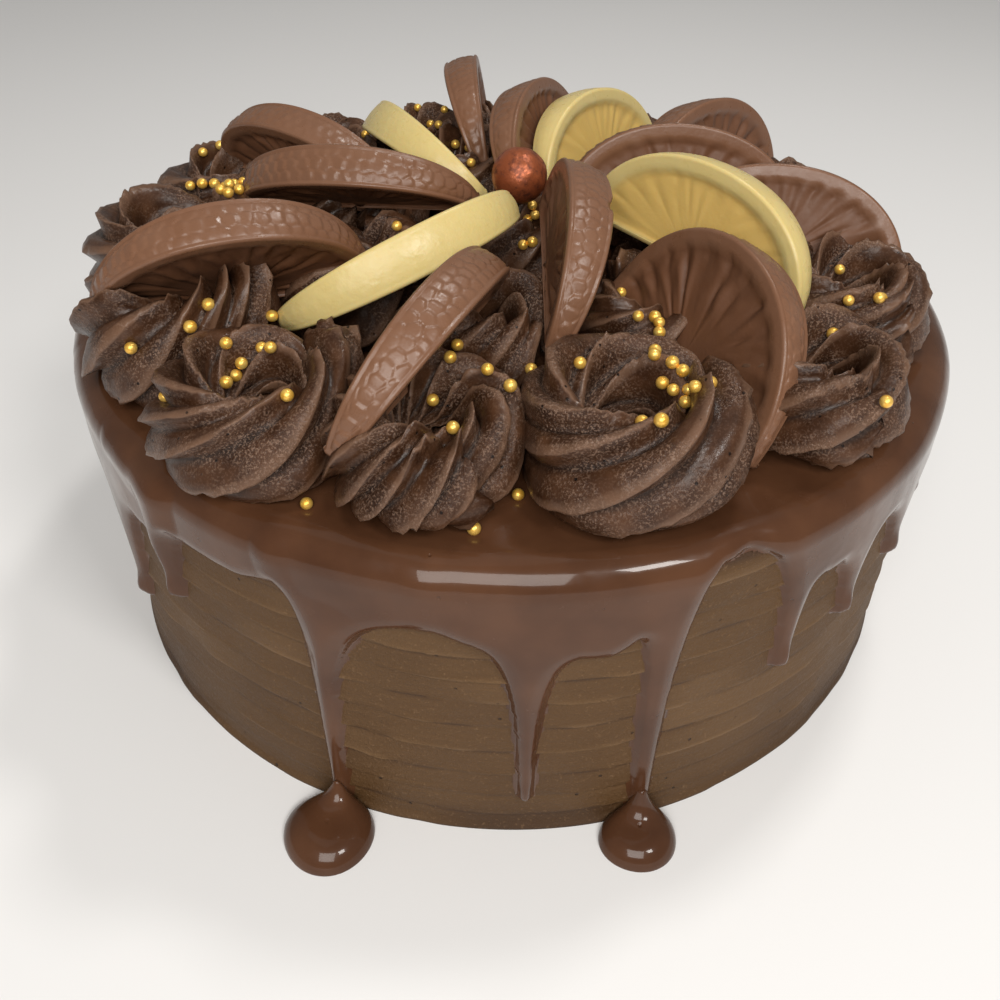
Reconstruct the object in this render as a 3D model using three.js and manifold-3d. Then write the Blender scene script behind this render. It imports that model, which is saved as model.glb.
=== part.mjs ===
/**
 * Round chocolate orange cake: a buttercream-coated body, a poured ganache top with drips and two
 * pools, a crown of piped rosettes, fifteen chocolate orange segments, one ball and gold pearls.
 *
 * Millimetres, +Z up. The origin is the centre of the underside, and the front faces -Y.
 */
import * as THREE from 'three';
import Module from 'manifold-3d';

const wasm = await Module();
wasm.setup();

// ---------------------------------------------------------------- driving dimensions

/** Air between two pieces that touch. */
const GAP = 0.3;

/** Extra air under the ganache, so that its flat facets clear the round body between their corners. */
const FACET_AIR = 0.4;

/** Air round a segment in the slot that it leaves in a rosette, taken along its own axes. */
const SLOT_AIR = 0.42;

/** The straight-sided cake under the ganache, scraped into shallow level bands. */
const BODY = { radius: 106.8, height: 78.5, rim: 4.7, columns: 36, bandPitch: 8.6, bands: 6, groove: 0.7 };

/** The poured ganache: its thickness on top and down the side, and how its hem rounds off. */
const GANACHE = { top: 2.7, side: 1.25, innerRim: 3.2, hemThickness: 0.35, hemRound: 1.2 };

/** Columns of the ganache: the even step, the least space beside a drip, and the least of all. */
const GANACHE_COLUMNS = { step: rad(7), besideDrip: rad(2), closest: rad(0.5) };

/** How a drip swells out of the side: its middle, its hanging bead and how far the bead reaches. */
const DRIP = { swell: 1.3, bead: 0.9, beadReach: 6 };

/** Level of the ganache hem between its drips, as [azimuth in degrees, height]. */
const HEM = [
  [0, 61], [20, 66], [40, 62], [60, 67], [80, 62], [100, 66], [120, 61], [140, 67], [160, 62], [180, 65],
  [200, 61], [216, 66], [232, 66], [245, 68], [263, 65], [281, 58], [289, 68], [294, 73.5], [299, 72.5],
  [308, 62], [320, 64], [336, 62],
];

/** Drips round the side: azimuth and half width in degrees, tip height, and how each side flares. */
const DRIPS = [
  { at: 250.6, half: 0.9, tip: 4.9, flare: [0.5, 3.2] },
  { at: 273.3, half: 0.9, tip: 12, flare: [1.6, 1.2] },
  { at: 287.3, half: 1.0, tip: 4.6, flare: [0.5, 1.2] },
  { at: 304.0, half: 1.1, tip: 38, flare: [1.6, 0.9] },
  { at: 314.5, half: 1.2, tip: 42, flare: [1.2, 1.4] },
  { at: 326.0, half: 1.3, tip: 45, flare: [1.5, 1.5] },
  { at: 341.0, half: 2.6, tip: 42, flare: [2.5, 2.5] },
  { at: 358.0, half: 1.2, tip: 30, flare: [1.5, 2.5] },
  { at: 22.0, half: 1.2, tip: 46, flare: [1.5, 1.5] },
  { at: 46.0, half: 1.3, tip: 20, flare: [3.0, 1.8] },
  { at: 72.0, half: 1.4, tip: 41, flare: [1.5, 2.5] },
  { at: 98.0, half: 1.2, tip: 29, flare: [1.8, 3.0] },
  { at: 125.0, half: 1.3, tip: 47, flare: [1.8, 1.5] },
  { at: 150.0, half: 1.3, tip: 17, flare: [3.0, 1.8] },
  { at: 176.0, half: 1.4, tip: 43, flare: [1.8, 2.5] },
  { at: 199.0, half: 1.2, tip: 33, flare: [1.5, 2.0] },
  { at: 217.0, half: 1.3, tip: 28, flare: [2.5, 1.5] },
  { at: 229.0, half: 1.3, tip: 45, flare: [1.2, 0.9] },
];

/** Blobs at the feet of the two longest drips: centre, half length outwards, half width, height. */
const POOLS = [
  { x: -37.2, y: -109.6, outwards: 9.6, across: 10.2, height: 5.2 },
  { x: 31.8, y: -108.2, outwards: 8.0, across: 8.8, height: 4.8 },
];
const POOL_COLUMNS = 20;

/** Section of a pool from its crown down to its foot, as [share of half width, share of height]. */
const POOL_SECTION = [[0.45, 0.95], [0.75, 0.78], [0.96, 0.42], [1, 0.2], [0.96, 0]];

/** Piped rosettes: how deep and how many their ridges are, and how far the ridges sweep round. */
const OUTER_ROSETTE = { ridges: 10, sweep: rad(-105), groove: 2.8, wobble: 0.05 };
const INNER_ROSETTE = { height: 18.5, ridges: 7, sweep: rad(-105), groove: 2.2, wobble: 0.04 };

/** Section of a rosette from near its eye down to its foot, as [share of radius, share of height]. */
const ROSETTE_SECTION = [[0.3, 1], [0.62, 0.92], [0.9, 0.48], [1, 0]];
const ROSETTE_EYE = 0.8;

/** The crown: azimuth in degrees, distance of the eye from the centre, radius and height. */
const OUTER_RING = [
  [286.5, 79, 25, 22.5], [260, 81, 22, 20], [234, 86, 24, 21.5], [212, 85, 24, 23.5], [187, 84, 25, 21.5],
  [163, 80, 24, 20], [139, 75, 22, 19], [115, 72, 20, 17.5], [91, 71, 20, 17.5], [67, 70, 20, 17.5],
  [44, 71, 20, 17], [22, 72, 20, 17.5], [2, 74, 21, 18.5], [342, 82, 23, 21], [318, 88, 21, 20.5],
];
const INNER_RING = { count: 7, first: 211, distance: 44, radius: 22 };

/** Chocolate segment: a thin half-moon wedge with a raised rim round each sunken face. */
const SEGMENT = {
  halfLength: 30, height: 23.5, innerThickness: 4.5, peelThickness: 10.2, squareness: 2.1,
  arcSteps: 11, recess: 0.8, rimShare: 0.14, bevelShare: 0.19, hub: 8,
};

/** Segments: middle of the straight edge, heading and dip of that edge, and lean, in degrees. */
const MILK_SEGMENTS = [
  { at: [-55, 23, 93], heading: 153, dip: -5, lean: 18 },
  { at: [-39, 3, 100], heading: 170, dip: 5, lean: 46 },
  { at: [-60, -40, 100], heading: 205, dip: -4, lean: 31 },
  { at: [-18.5, -64.5, 96], heading: 246, dip: 4, lean: 25 },
  { at: [8, -30, 99], heading: 272, dip: 4, lean: 20, chipped: true },
  { at: [-13, 67, 92], heading: 93, dip: 8, lean: 16 },
  { at: [8, 40, 95], heading: 71, dip: 8, lean: 26 },
  { at: [40, 3, 97], heading: 1, dip: 5, lean: 25 },
  { at: [52, 30, 94], heading: 47, dip: 3, lean: 22 },
  { at: [62, -13, 94], heading: 352, dip: 0, lean: 34 },
  { at: [39, -50, 94], heading: 297, dip: 5, lean: 31 },
];
const WHITE_SEGMENTS = [
  { at: [-22, 33, 95], heading: 116, dip: 9, lean: 43 },
  { at: [-26, -31, 101], heading: 216, dip: 12, lean: 55 },
  { at: [23, 42, 92], heading: 53, dip: 14, lean: 22 },
  { at: [40, -21, 98], heading: 319, dip: 5, lean: 19 },
];

/** The bite-shaped chip on one peel edge, in that segment's own frame. */
const CHIP = { along: 4, rise: 25, side: 6.4, radius: 3.4, stretch: 1.3 };

/** The ball in the middle of the crown. */
const BALL = { centre: [0, 5, 107], radius: 6.9 };

/** Gold pearls, strewn in loose clusters: middle, spread in X and Y, and how many. */
const PEARL = { radius: 1.25, sunk: 0.35, seed: 7, keepOff: 1.7 };
const PEARL_CLUSTERS = [
  { at: [-77, 15], spread: [8, 6], count: 7 },
  { at: [-63, -48], spread: [7, 5], count: 4 },
  { at: [-76, -58], spread: [7, 9], count: 2 },
  { at: [-51, -66], spread: [5, 7], count: 4 },
  { at: [-6, -66], spread: [9, 9], count: 5 },
  { at: [32, -67], spread: [6, 8], count: 6 },
  { at: [22, -80], spread: [8, 3], count: 2 },
  { at: [29, -42], spread: [3, 12], count: 5 },
  { at: [27, 0], spread: [3, 3], count: 1 },
  { at: [77, -31], spread: [7, 10], count: 4 },
  { at: [78, -64], spread: [3, 3], count: 1 },
  { at: [3, -3], spread: [2, 9], count: 4 },
  { at: [-28, 63], spread: [5, 5], count: 3 },
  { at: [-17, 39], spread: [3, 7], count: 2 },
  { at: [-46, 53], spread: [3, 3], count: 1 },
  { at: [-30, -3], spread: [3, 3], count: 1 },
  { at: [30, 80], spread: [9, 5], count: 3 },
  { at: [66, 50], spread: [6, 8], count: 3 },
  { at: [-36, -92], spread: [1, 1], count: 1 },
  { at: [-1, -93], spread: [5, 4], count: 2 },
];

/** Colours and finishes of what shows. */
const FINISHES = {
  buttercream: { color: 0x4e3524, roughness: 0.75, metalness: 0 },
  ganache: { color: 0x3a1c13, roughness: 0.18, metalness: 0 },
  rosette: { color: 0x2c1a14, roughness: 0.6, metalness: 0 },
  milk: { color: 0x6b4030, roughness: 0.35, metalness: 0 },
  white: { color: 0xe3cf8c, roughness: 0.4, metalness: 0 },
  copper: { color: 0x8c3b22, roughness: 0.35, metalness: 0.6 },
};

// ---------------------------------------------------------------- values worked out

const INNER_RADIUS = BODY.radius + GAP + FACET_AIR;
const INNER_TOP = BODY.height + GAP;
const RIM_LENGTH = GANACHE.innerRim * Math.PI / 2;
const GANACHE_TOP = INNER_TOP + GANACHE.top;
const ROSETTE_FLOOR = GANACHE_TOP + GAP;

// ---------------------------------------------------------------- small helpers

function rad(degrees) {
  return THREE.MathUtils.degToRad(degrees);
}

/** Point at an azimuth, a distance from the axis and a height. */
function polar(azimuth, distance, height) {
  return new THREE.Vector3(distance * Math.cos(azimuth), distance * Math.sin(azimuth), height);
}

/** Smallest signed turn from one azimuth to another. */
function turnBetween(from, to) {
  const turn = (to - from) % (2 * Math.PI);
  if (turn > Math.PI) return turn - 2 * Math.PI;
  return turn < -Math.PI ? turn + 2 * Math.PI : turn;
}

/** Repeatable random numbers from 0 to 1. */
function seededRandom(seed) {
  let state = seed;
  return () => {
    state = (state * 1664525 + 1013904223) % 4294967296;
    return state / 4294967296;
  };
}

/** Straight-line reading of a section given as rising [share, value] pairs. */
function readSection(section, share) {
  const last = section.length - 1;
  const next = section.findIndex(([place]) => place >= share);
  if (next === -1) return section[last][1];
  if (next === 0) return section[0][1];
  const [from, low] = section[next - 1];
  const [to, high] = section[next];
  return THREE.MathUtils.mapLinear(share, from, to, low, high);
}

/** Closed surface that runs from a first pole through rings of points to a last pole. */
function ringSolid(firstPole, rings, lastPole) {
  const columns = rings[0].length;
  const points = [firstPole, ...rings.flat(), lastPole];
  const at = (ring, column) => 1 + ring * columns + (column % columns);
  const index = [];
  for (let column = 0; column < columns; column += 1) {
    index.push(0, at(0, column), at(0, column + 1));
    for (let ring = 0; ring + 1 < rings.length; ring += 1) {
      index.push(at(ring, column), at(ring + 1, column), at(ring + 1, column + 1));
      index.push(at(ring, column), at(ring + 1, column + 1), at(ring, column + 1));
    }
    index.push(points.length - 1, at(rings.length - 1, column + 1), at(rings.length - 1, column));
  }
  const geometry = new THREE.BufferGeometry().setFromPoints(points);
  geometry.setIndex(index);
  return geometry;
}

/** Ring of points from a function of the azimuth, at even steps. */
function evenRing(columns, pointAt) {
  return Array.from({ length: columns }, (_, column) => pointAt(2 * Math.PI * column / columns, column));
}

function toSolid(geometry) {
  const vertProperties = new Float32Array(geometry.getAttribute('position').array);
  const triVerts = new Uint32Array(geometry.getIndex().array);
  return new wasm.Manifold(new wasm.Mesh({ numProp: 3, vertProperties, triVerts }));
}

function toGeometry(solid) {
  const mesh = solid.getMesh();
  const geometry = new THREE.BufferGeometry();
  geometry.setAttribute('position', new THREE.BufferAttribute(mesh.vertProperties, 3));
  geometry.setIndex(new THREE.BufferAttribute(mesh.triVerts, 1));
  return geometry;
}

/** The piece itself, without loose scraps that a cut leaves. */
function largestBody(solid) {
  return solid.decompose().reduce((best, body) => (body.volume() > best.volume() ? body : best));
}

function nodeMesh(name, geometry, finish) {
  geometry.computeVertexNormals();
  const mesh = new THREE.Mesh(geometry, new THREE.MeshStandardMaterial(finish));
  mesh.name = name;
  return mesh;
}

/** Faceted sphere of five-sided caps, for pearls. */
function pearlGeometry(centre) {
  const band = Math.atan(0.5);
  const ring = (latitude, offset) => evenRing(5, (azimuth) => (
    polar(azimuth + offset, PEARL.radius * Math.cos(latitude), PEARL.radius * Math.sin(latitude)).add(centre)
  ));
  const top = centre.clone().setZ(centre.z + PEARL.radius);
  const bottom = centre.clone().setZ(centre.z - PEARL.radius);
  return ringSolid(top, [ring(band, 0), ring(-band, rad(36))], bottom);
}

/** Sphere with a given number of columns. */
function sphereGeometry(centre, radius, columns) {
  const bands = columns / 2;
  const rings = Array.from({ length: bands - 1 }, (_, band) => {
    const tilt = Math.PI * (band + 1) / bands;
    return evenRing(columns, (azimuth) => (
      polar(azimuth, radius * Math.sin(tilt), radius * Math.cos(tilt)).add(centre)
    ));
  });
  return ringSolid(centre.clone().setZ(centre.z + radius), rings, centre.clone().setZ(centre.z - radius));
}

// ---------------------------------------------------------------- cake body

function bodyGeometry() {
  const levels = [[BODY.radius, 0]];
  for (let band = 0; band < BODY.bands; band += 1) {
    const foot = (band + 0.75) * BODY.bandPitch;
    levels.push([BODY.radius, foot]);
    levels.push([BODY.radius - BODY.groove, foot + BODY.bandPitch / 5]);
  }
  const rimFoot = BODY.height - BODY.rim;
  for (const turn of [0, rad(45), rad(90)]) {
    const inset = BODY.rim * (1 - Math.cos(turn));
    levels.push([BODY.radius - inset, rimFoot + BODY.rim * Math.sin(turn)]);
  }
  const rings = levels.reverse().map(([radius, height]) => (
    evenRing(BODY.columns, (azimuth) => polar(azimuth, radius, height))
  ));
  return ringSolid(new THREE.Vector3(0, 0, BODY.height), rings, new THREE.Vector3(0, 0, 0));
}

// ---------------------------------------------------------------- ganache

/** Level of the hem between drips, eased from one listed level to the next. */
function hemLevel(azimuth) {
  const degrees = THREE.MathUtils.euclideanModulo(THREE.MathUtils.radToDeg(azimuth), 360);
  const next = HEM.findIndex(([place]) => place > degrees);
  const [to, high] = next === -1 ? [360, HEM[0][1]] : HEM[next];
  const [from, low] = HEM[(next === -1 ? HEM.length : next) - 1];
  return low + (high - low) * THREE.MathUtils.smoothstep(degrees, from, to);
}

/** How far a drip has risen to the hem at an azimuth: 0 inside it, near 1 well beside it. */
function dripRise(drip, azimuth) {
  const beside = THREE.MathUtils.radToDeg(turnBetween(rad(drip.at), azimuth));
  const flare = beside < 0 ? drip.flare[0] : drip.flare[1];
  return 1 - Math.exp(-Math.max(Math.abs(beside) - drip.half, 0) / flare);
}

/** Height of the ganache's lower edge at an azimuth, drips included. */
function edgeHeight(azimuth) {
  const hem = hemLevel(azimuth);
  return DRIPS.reduce((lowest, drip) => (
    Math.min(lowest, drip.tip + (hem - drip.tip) * dripRise(drip, azimuth))
  ), hem);
}

/** Distance down the inner face from the start of the rim to a height below the rim. */
function pathTo(height) {
  return RIM_LENGTH + INNER_TOP - GANACHE.innerRim - height;
}

/** Point a given way down the inner face, lifted off it by a thickness. */
function faceAt(azimuth, path, thickness) {
  const turn = Math.min(path, RIM_LENGTH) / GANACHE.innerRim;
  const below = Math.max(path - RIM_LENGTH, 0);
  const distance = INNER_RADIUS - GANACHE.innerRim + (GANACHE.innerRim + thickness) * Math.sin(turn);
  const height = INNER_TOP - GANACHE.innerRim + (GANACHE.innerRim + thickness) * Math.cos(turn) - below;
  return polar(azimuth, distance, height);
}

/** Thickness of the ganache: thick on top, thinner down the side, swollen along its drips. */
function ganacheThickness(azimuth, path, edge) {
  const side = THREE.MathUtils.lerp(GANACHE.top, GANACHE.side, Math.min(path / RIM_LENGTH, 1));
  const nearness = DRIPS.reduce((most, drip) => {
    const beside = THREE.MathUtils.radToDeg(turnBetween(rad(drip.at), azimuth)) / drip.half;
    return Math.max(most, Math.exp(-beside * beside / 2));
  }, 0);
  const down = THREE.MathUtils.smoothstep(path, RIM_LENGTH, RIM_LENGTH + DRIP.beadReach);
  const bead = DRIP.bead * Math.exp(-(edge - path) / DRIP.beadReach);
  return side + nearness * down * (DRIP.swell + bead);
}

/** Azimuths of the columns: even steps, closer together across each drip. */
function ganacheColumns() {
  const steps = Math.round(2 * Math.PI / GANACHE_COLUMNS.step);
  const fine = DRIPS.flatMap((drip) => [-1, 1].flatMap((side) => {
    const flare = side < 0 ? drip.flare[0] : drip.flare[1];
    const beside = [0.45 * drip.half, drip.half, drip.half + 0.6 * flare, drip.half + 1.8 * flare];
    return beside.map((offset) => rad(drip.at + side * offset));
  }));
  const even = Array.from({ length: steps }, (_, step) => 2 * Math.PI * step / steps);
  const isFree = (azimuth) => fine.every((other) => (
    Math.abs(turnBetween(azimuth, other)) > GANACHE_COLUMNS.besideDrip
  ));
  const wrapped = [...fine, ...even.filter(isFree)].map((azimuth) => (
    THREE.MathUtils.euclideanModulo(azimuth, 2 * Math.PI)
  ));
  const sorted = wrapped.sort((one, other) => one - other);
  return sorted.filter((azimuth, place) => (
    place === 0 || azimuth - sorted[place - 1] > GANACHE_COLUMNS.closest
  ));
}

function ganacheCupGeometry() {
  const columns = ganacheColumns();
  const edges = columns.map((azimuth) => pathTo(edgeHeight(azimuth)));
  const ring = (pathOf, thicknessOf) => columns.map((azimuth, column) => {
    const path = pathOf(edges[column]);
    return faceAt(azimuth, path, thicknessOf(azimuth, path, edges[column]));
  });
  const rim = [0, RIM_LENGTH / 2, RIM_LENGTH].map((path) => () => path);
  const roundAt = (edge) => edge - GANACHE.hemRound;
  const paths = [...rim, (edge) => THREE.MathUtils.lerp(RIM_LENGTH, roundAt(edge), 0.7), roundAt];
  const outer = paths.map((path) => ring(path, ganacheThickness));
  const hem = ring((edge) => edge, () => GANACHE.hemThickness);
  const inner = [(edge) => edge, () => RIM_LENGTH, () => 0].map((path) => ring(path, () => 0));
  const top = new THREE.Vector3(0, 0, GANACHE_TOP);
  return ringSolid(top, [...outer, hem, ...inner], new THREE.Vector3(0, 0, INNER_TOP));
}

/** Round blob of ganache on the surface at the foot of a drip. */
function poolGeometry(pool) {
  const outwards = Math.atan2(pool.y, pool.x);
  const centre = new THREE.Vector3(pool.x, pool.y, 0);
  const axis = new THREE.Vector3(0, 0, 1);
  const rings = POOL_SECTION.map(([share, level]) => evenRing(POOL_COLUMNS, (azimuth) => (
    new THREE.Vector3(
      pool.outwards * share * Math.cos(azimuth),
      pool.across * share * Math.sin(azimuth),
      pool.height * level,
    ).applyAxisAngle(axis, outwards).add(centre)
  )));
  return ringSolid(centre.clone().setZ(pool.height), rings, centre);
}

/** Plug of the body's space, which keeps the pools off the cake's side. */
function bodyClearance() {
  const columns = 96;
  const depth = 10;
  const ring = (height) => evenRing(columns, (azimuth) => polar(azimuth, INNER_RADIUS, height));
  return toSolid(ringSolid(new THREE.Vector3(0, 0, depth), [ring(depth), ring(-depth)],
    new THREE.Vector3(0, 0, -depth)));
}

// ---------------------------------------------------------------- rosettes

function outerRosettes() {
  return OUTER_RING.map(([azimuth, distance, radius, height], place) => (
    { ...OUTER_ROSETTE, name: `rosette_${place + 1}`, eye: polar(rad(azimuth), distance, 0), radius, height }
  ));
}

function innerRosettes() {
  const ring = Array.from({ length: INNER_RING.count }, (_, place) => {
    const azimuth = rad(INNER_RING.first + 360 * place / INNER_RING.count);
    return {
      ...INNER_ROSETTE,
      name: `inner_rosette_${place + 1}`,
      eye: polar(azimuth, INNER_RING.distance, 0),
      radius: INNER_RING.radius,
    };
  });
  const middle = {
    ...INNER_ROSETTE,
    name: 'middle_rosette',
    eye: new THREE.Vector3(BALL.centre[0], BALL.centre[1], 0),
    radius: INNER_RING.radius,
  };
  return [...ring, middle];
}

/** How far a rosette reaches at an azimuth before it meets a neighbour half way. */
function rosetteReach(rosette, azimuth, rosettes) {
  const own = rosette.radius * (1 + rosette.wobble * Math.sin(2 * azimuth + rosette.eye.x));
  return rosettes.reduce((reach, other) => {
    const between = other.eye.clone().sub(rosette.eye);
    const facing = Math.cos(turnBetween(Math.atan2(between.y, between.x), azimuth));
    if (other === rosette || facing <= 0) return reach;
    return Math.min(reach, (between.length() - GAP) / 2 / facing);
  }, own);
}

/** How far the ridges have swept round where the section has a given share and level. */
function sweepAt(rosette, share, level) {
  return rosette.sweep * (share + 1 - level) / 2;
}

/** Point on a rosette's surface, on a crest or in a groove, a share of the way from eye to foot. */
function rosettePoint(rosette, azimuth, share, level, isGroove, rosettes) {
  const relief = isGroove ? -rosette.groove * share : 0;
  const reach = rosetteReach(rosette, azimuth, rosettes) * share + relief;
  const lift = Math.min(level * rosette.height, rosette.height + relief);
  return polar(azimuth, reach, ROSETTE_FLOOR + lift).add(rosette.eye);
}

function rosetteGeometry(rosette, rosettes) {
  const columns = 2 * rosette.ridges;
  const rings = ROSETTE_SECTION.map(([share, level]) => evenRing(columns, (turn, column) => {
    const azimuth = turn + sweepAt(rosette, share, level);
    return rosettePoint(rosette, azimuth, share, level, column % 2 === 1, rosettes);
  }));
  const top = rosette.eye.clone().setZ(ROSETTE_FLOOR + ROSETTE_EYE * rosette.height);
  return ringSolid(top, rings, rosette.eye.clone().setZ(ROSETTE_FLOOR));
}

/** Height of a rosette's surface above one point of the plan. */
function rosetteHeight(rosette, place, rosettes) {
  const from = place.clone().sub(rosette.eye);
  const share = from.length() / rosetteReach(rosette, Math.atan2(from.y, from.x), rosettes);
  const section = [[0, ROSETTE_EYE], ...ROSETTE_SECTION];
  return ROSETTE_FLOOR + readSection(section, Math.min(share, 1)) * rosette.height;
}

// ---------------------------------------------------------------- segments

/** Half-moon outline as [along, rise] pairs: the arc from end to end, then the straight edge. */
function segmentOutline(clearance) {
  const bulge = 2 / SEGMENT.squareness;
  const arc = Array.from({ length: SEGMENT.arcSteps }, (_, step) => {
    const turn = Math.PI * step / (SEGMENT.arcSteps - 1);
    const along = Math.sign(Math.cos(turn)) * Math.abs(Math.cos(turn)) ** bulge;
    const rise = Math.abs(Math.sin(turn)) ** bulge;
    return [(SEGMENT.halfLength + clearance) * along, (SEGMENT.height + 2 * clearance) * rise - clearance];
  });
  return [...arc, [0, -clearance]];
}

/** Half of the wedge's thickness at a distance from its straight edge. */
function halfThickness(rise) {
  const share = rise / SEGMENT.height;
  return THREE.MathUtils.lerp(SEGMENT.innerThickness, SEGMENT.peelThickness, share) / 2;
}

/** Segment wedge in its own frame: X along the straight edge, Z towards the peel. */
function segmentGeometry(clearance, recess) {
  const outline = segmentOutline(clearance);
  const face = (side, inset, sunk) => outline.map(([along, rise]) => {
    const insetRise = THREE.MathUtils.lerp(rise, SEGMENT.hub, inset);
    const across = side * (halfThickness(insetRise) + clearance - sunk);
    return new THREE.Vector3(along * (1 - inset), across, insetRise);
  });
  const depth = halfThickness(SEGMENT.hub) + clearance - recess;
  const pole = (side) => new THREE.Vector3(0, side * depth, SEGMENT.hub);
  const sunkenSide = (side) => [
    face(side, SEGMENT.bevelShare, recess),
    face(side, SEGMENT.rimShare, 0),
    face(side, 0, 0),
  ];
  const sunken = [...sunkenSide(-1), ...sunkenSide(1).reverse()];
  const plain = [face(-1, 0, 0), face(1, 0, 0)];
  return ringSolid(pole(-1), recess > 0 ? sunken : plain, pole(1));
}

/** Where a segment stands: its straight edge turned to its heading, dipped, then leant over. */
function segmentPlacement(pose) {
  const turned = new THREE.Matrix4().makeRotationZ(rad(pose.heading));
  const dipped = new THREE.Matrix4().makeRotationY(rad(pose.dip));
  const leant = new THREE.Matrix4().makeRotationX(-rad(pose.lean));
  const place = new THREE.Matrix4().makeTranslation(...pose.at);
  return place.multiply(turned).multiply(dipped).multiply(leant);
}

/** Stretched ball that bites the chip out of a peel edge. */
function chipCutter() {
  const geometry = sphereGeometry(new THREE.Vector3(), CHIP.radius, 10);
  geometry.scale(CHIP.stretch, 1, CHIP.stretch);
  geometry.translate(CHIP.along, CHIP.side, CHIP.rise);
  return toSolid(geometry);
}

function segmentMesh(name, pose, finish) {
  const whole = segmentGeometry(0, SEGMENT.recess);
  const geometry = pose.chipped ? toGeometry(toSolid(whole).subtract(chipCutter())) : whole;
  const mesh = nodeMesh(name, geometry, finish);
  mesh.applyMatrix4(segmentPlacement(pose));
  return mesh;
}

/** Whether a point lies in a segment's wedge, or nearer to it than a margin. */
function isNearSegment(pose, point, margin) {
  const local = point.clone().applyMatrix4(segmentPlacement(pose).invert());
  const along = Math.abs(local.x) / (SEGMENT.halfLength + margin);
  const rise = Math.max(local.z, 0) / (SEGMENT.height + margin);
  const isInArc = along ** SEGMENT.squareness + rise ** SEGMENT.squareness < 1;
  return isInArc && local.z > -margin && Math.abs(local.y) < halfThickness(local.z) + margin;
}

// ---------------------------------------------------------------- pearls

/** Pearl centres by the piece that each lies on, drawn cluster by cluster. */
function strewPearls(rosettes, poses) {
  const random = seededRandom(PEARL.seed);
  const byPiece = new Map([['ganache', []], ...rosettes.map((rosette) => [rosette.name, []])]);
  const scatter = (middle, spread) => middle + spread * (random() + random() - 1);
  for (const cluster of PEARL_CLUSTERS) {
    for (let pearl = 0; pearl < cluster.count; pearl += 1) {
      const place = new THREE.Vector3(
        scatter(cluster.at[0], cluster.spread[0]),
        scatter(cluster.at[1], cluster.spread[1]),
        0,
      );
      const owner = ownerOf(place, rosettes);
      const surface = owner ? rosetteHeight(owner, place, rosettes) : GANACHE_TOP;
      const centre = place.setZ(surface + PEARL.radius * PEARL.sunk);
      if (isClear(centre, owner, rosettes, poses)) byPiece.get(owner ? owner.name : 'ganache').push(centre);
    }
  }
  return byPiece;
}

/** The rosette that covers a point of the plan, or undefined where the ganache is bare. */
function ownerOf(place, rosettes) {
  return rosettes.find((rosette) => {
    const from = place.clone().sub(rosette.eye);
    return from.length() < rosetteReach(rosette, Math.atan2(from.y, from.x), rosettes);
  });
}

/** Whether a pearl keeps off the segments, the ball and every rosette but its own. */
function isClear(centre, owner, rosettes, poses) {
  const flat = centre.clone().setZ(0);
  const keepsOffOthers = rosettes.every((other) => {
    const from = flat.clone().sub(other.eye);
    const reach = rosetteReach(other, Math.atan2(from.y, from.x), rosettes);
    return other === owner || from.length() > reach + PEARL.radius;
  });
  const keepsOffBall = centre.distanceTo(new THREE.Vector3(...BALL.centre)) > BALL.radius + PEARL.keepOff;
  return keepsOffOthers && keepsOffBall && poses.every((pose) => !isNearSegment(pose, centre, PEARL.keepOff));
}

function withPearls(solid, centres) {
  return centres.reduce((whole, centre) => whole.add(toSolid(pearlGeometry(centre))), solid);
}

// ---------------------------------------------------------------- assembly

function buildCake() {
  const cake = new THREE.Group();
  const poses = [...MILK_SEGMENTS, ...WHITE_SEGMENTS];
  const rosettes = [...outerRosettes(), ...innerRosettes()];
  const pearls = strewPearls(rosettes, poses);

  cake.add(nodeMesh('cake_body', bodyGeometry(), FINISHES.buttercream));

  const ganache = largestBody(withPearls(toSolid(ganacheCupGeometry()), pearls.get('ganache')));
  cake.add(nodeMesh('ganache', toGeometry(ganache), FINISHES.ganache));
  const clearance = bodyClearance();
  POOLS.forEach((pool, place) => {
    const fitted = toSolid(poolGeometry(pool)).subtract(clearance);
    cake.add(nodeMesh(`pool_${place + 1}`, toGeometry(fitted), FINISHES.ganache));
  });

  const slots = poses.map((pose) => (
    toSolid(segmentGeometry(SLOT_AIR, 0).applyMatrix4(segmentPlacement(pose)))
  ));
  const ballCentre = new THREE.Vector3(...BALL.centre);
  const seat = toSolid(sphereGeometry(ballCentre, BALL.radius + GAP, 14));
  for (const rosette of rosettes) {
    const piped = withPearls(toSolid(rosetteGeometry(rosette, rosettes)), pearls.get(rosette.name));
    const fitted = [...slots, seat].reduce((left, cutter) => left.subtract(cutter), piped);
    cake.add(nodeMesh(rosette.name, toGeometry(largestBody(fitted)), FINISHES.rosette));
  }

  MILK_SEGMENTS.forEach((pose, place) => {
    cake.add(segmentMesh(`milk_segment_${place + 1}`, pose, FINISHES.milk));
  });
  WHITE_SEGMENTS.forEach((pose, place) => {
    cake.add(segmentMesh(`white_segment_${place + 1}`, pose, FINISHES.white));
  });

  cake.add(nodeMesh('ball', sphereGeometry(ballCentre, BALL.radius, 14), FINISHES.copper));
  return cake;
}

export default buildCake();
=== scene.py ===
"""Looks of a round chocolate orange cake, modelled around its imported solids.

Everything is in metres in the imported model's frame: the origin is the centre of the cake's
underside, +Z is up and -Y is the front. Lengths are written as millimetres times MM, apart from the
places and sizes in the plans, which are in plain millimetres and say so.
"""

import logging
import math
from dataclasses import dataclass, field
from enum import Enum

import bmesh
import bpy
import numpy as np
from mathutils import Matrix, Vector
from mathutils.bvhtree import BVHTree
from mathutils.kdtree import KDTree

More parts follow.
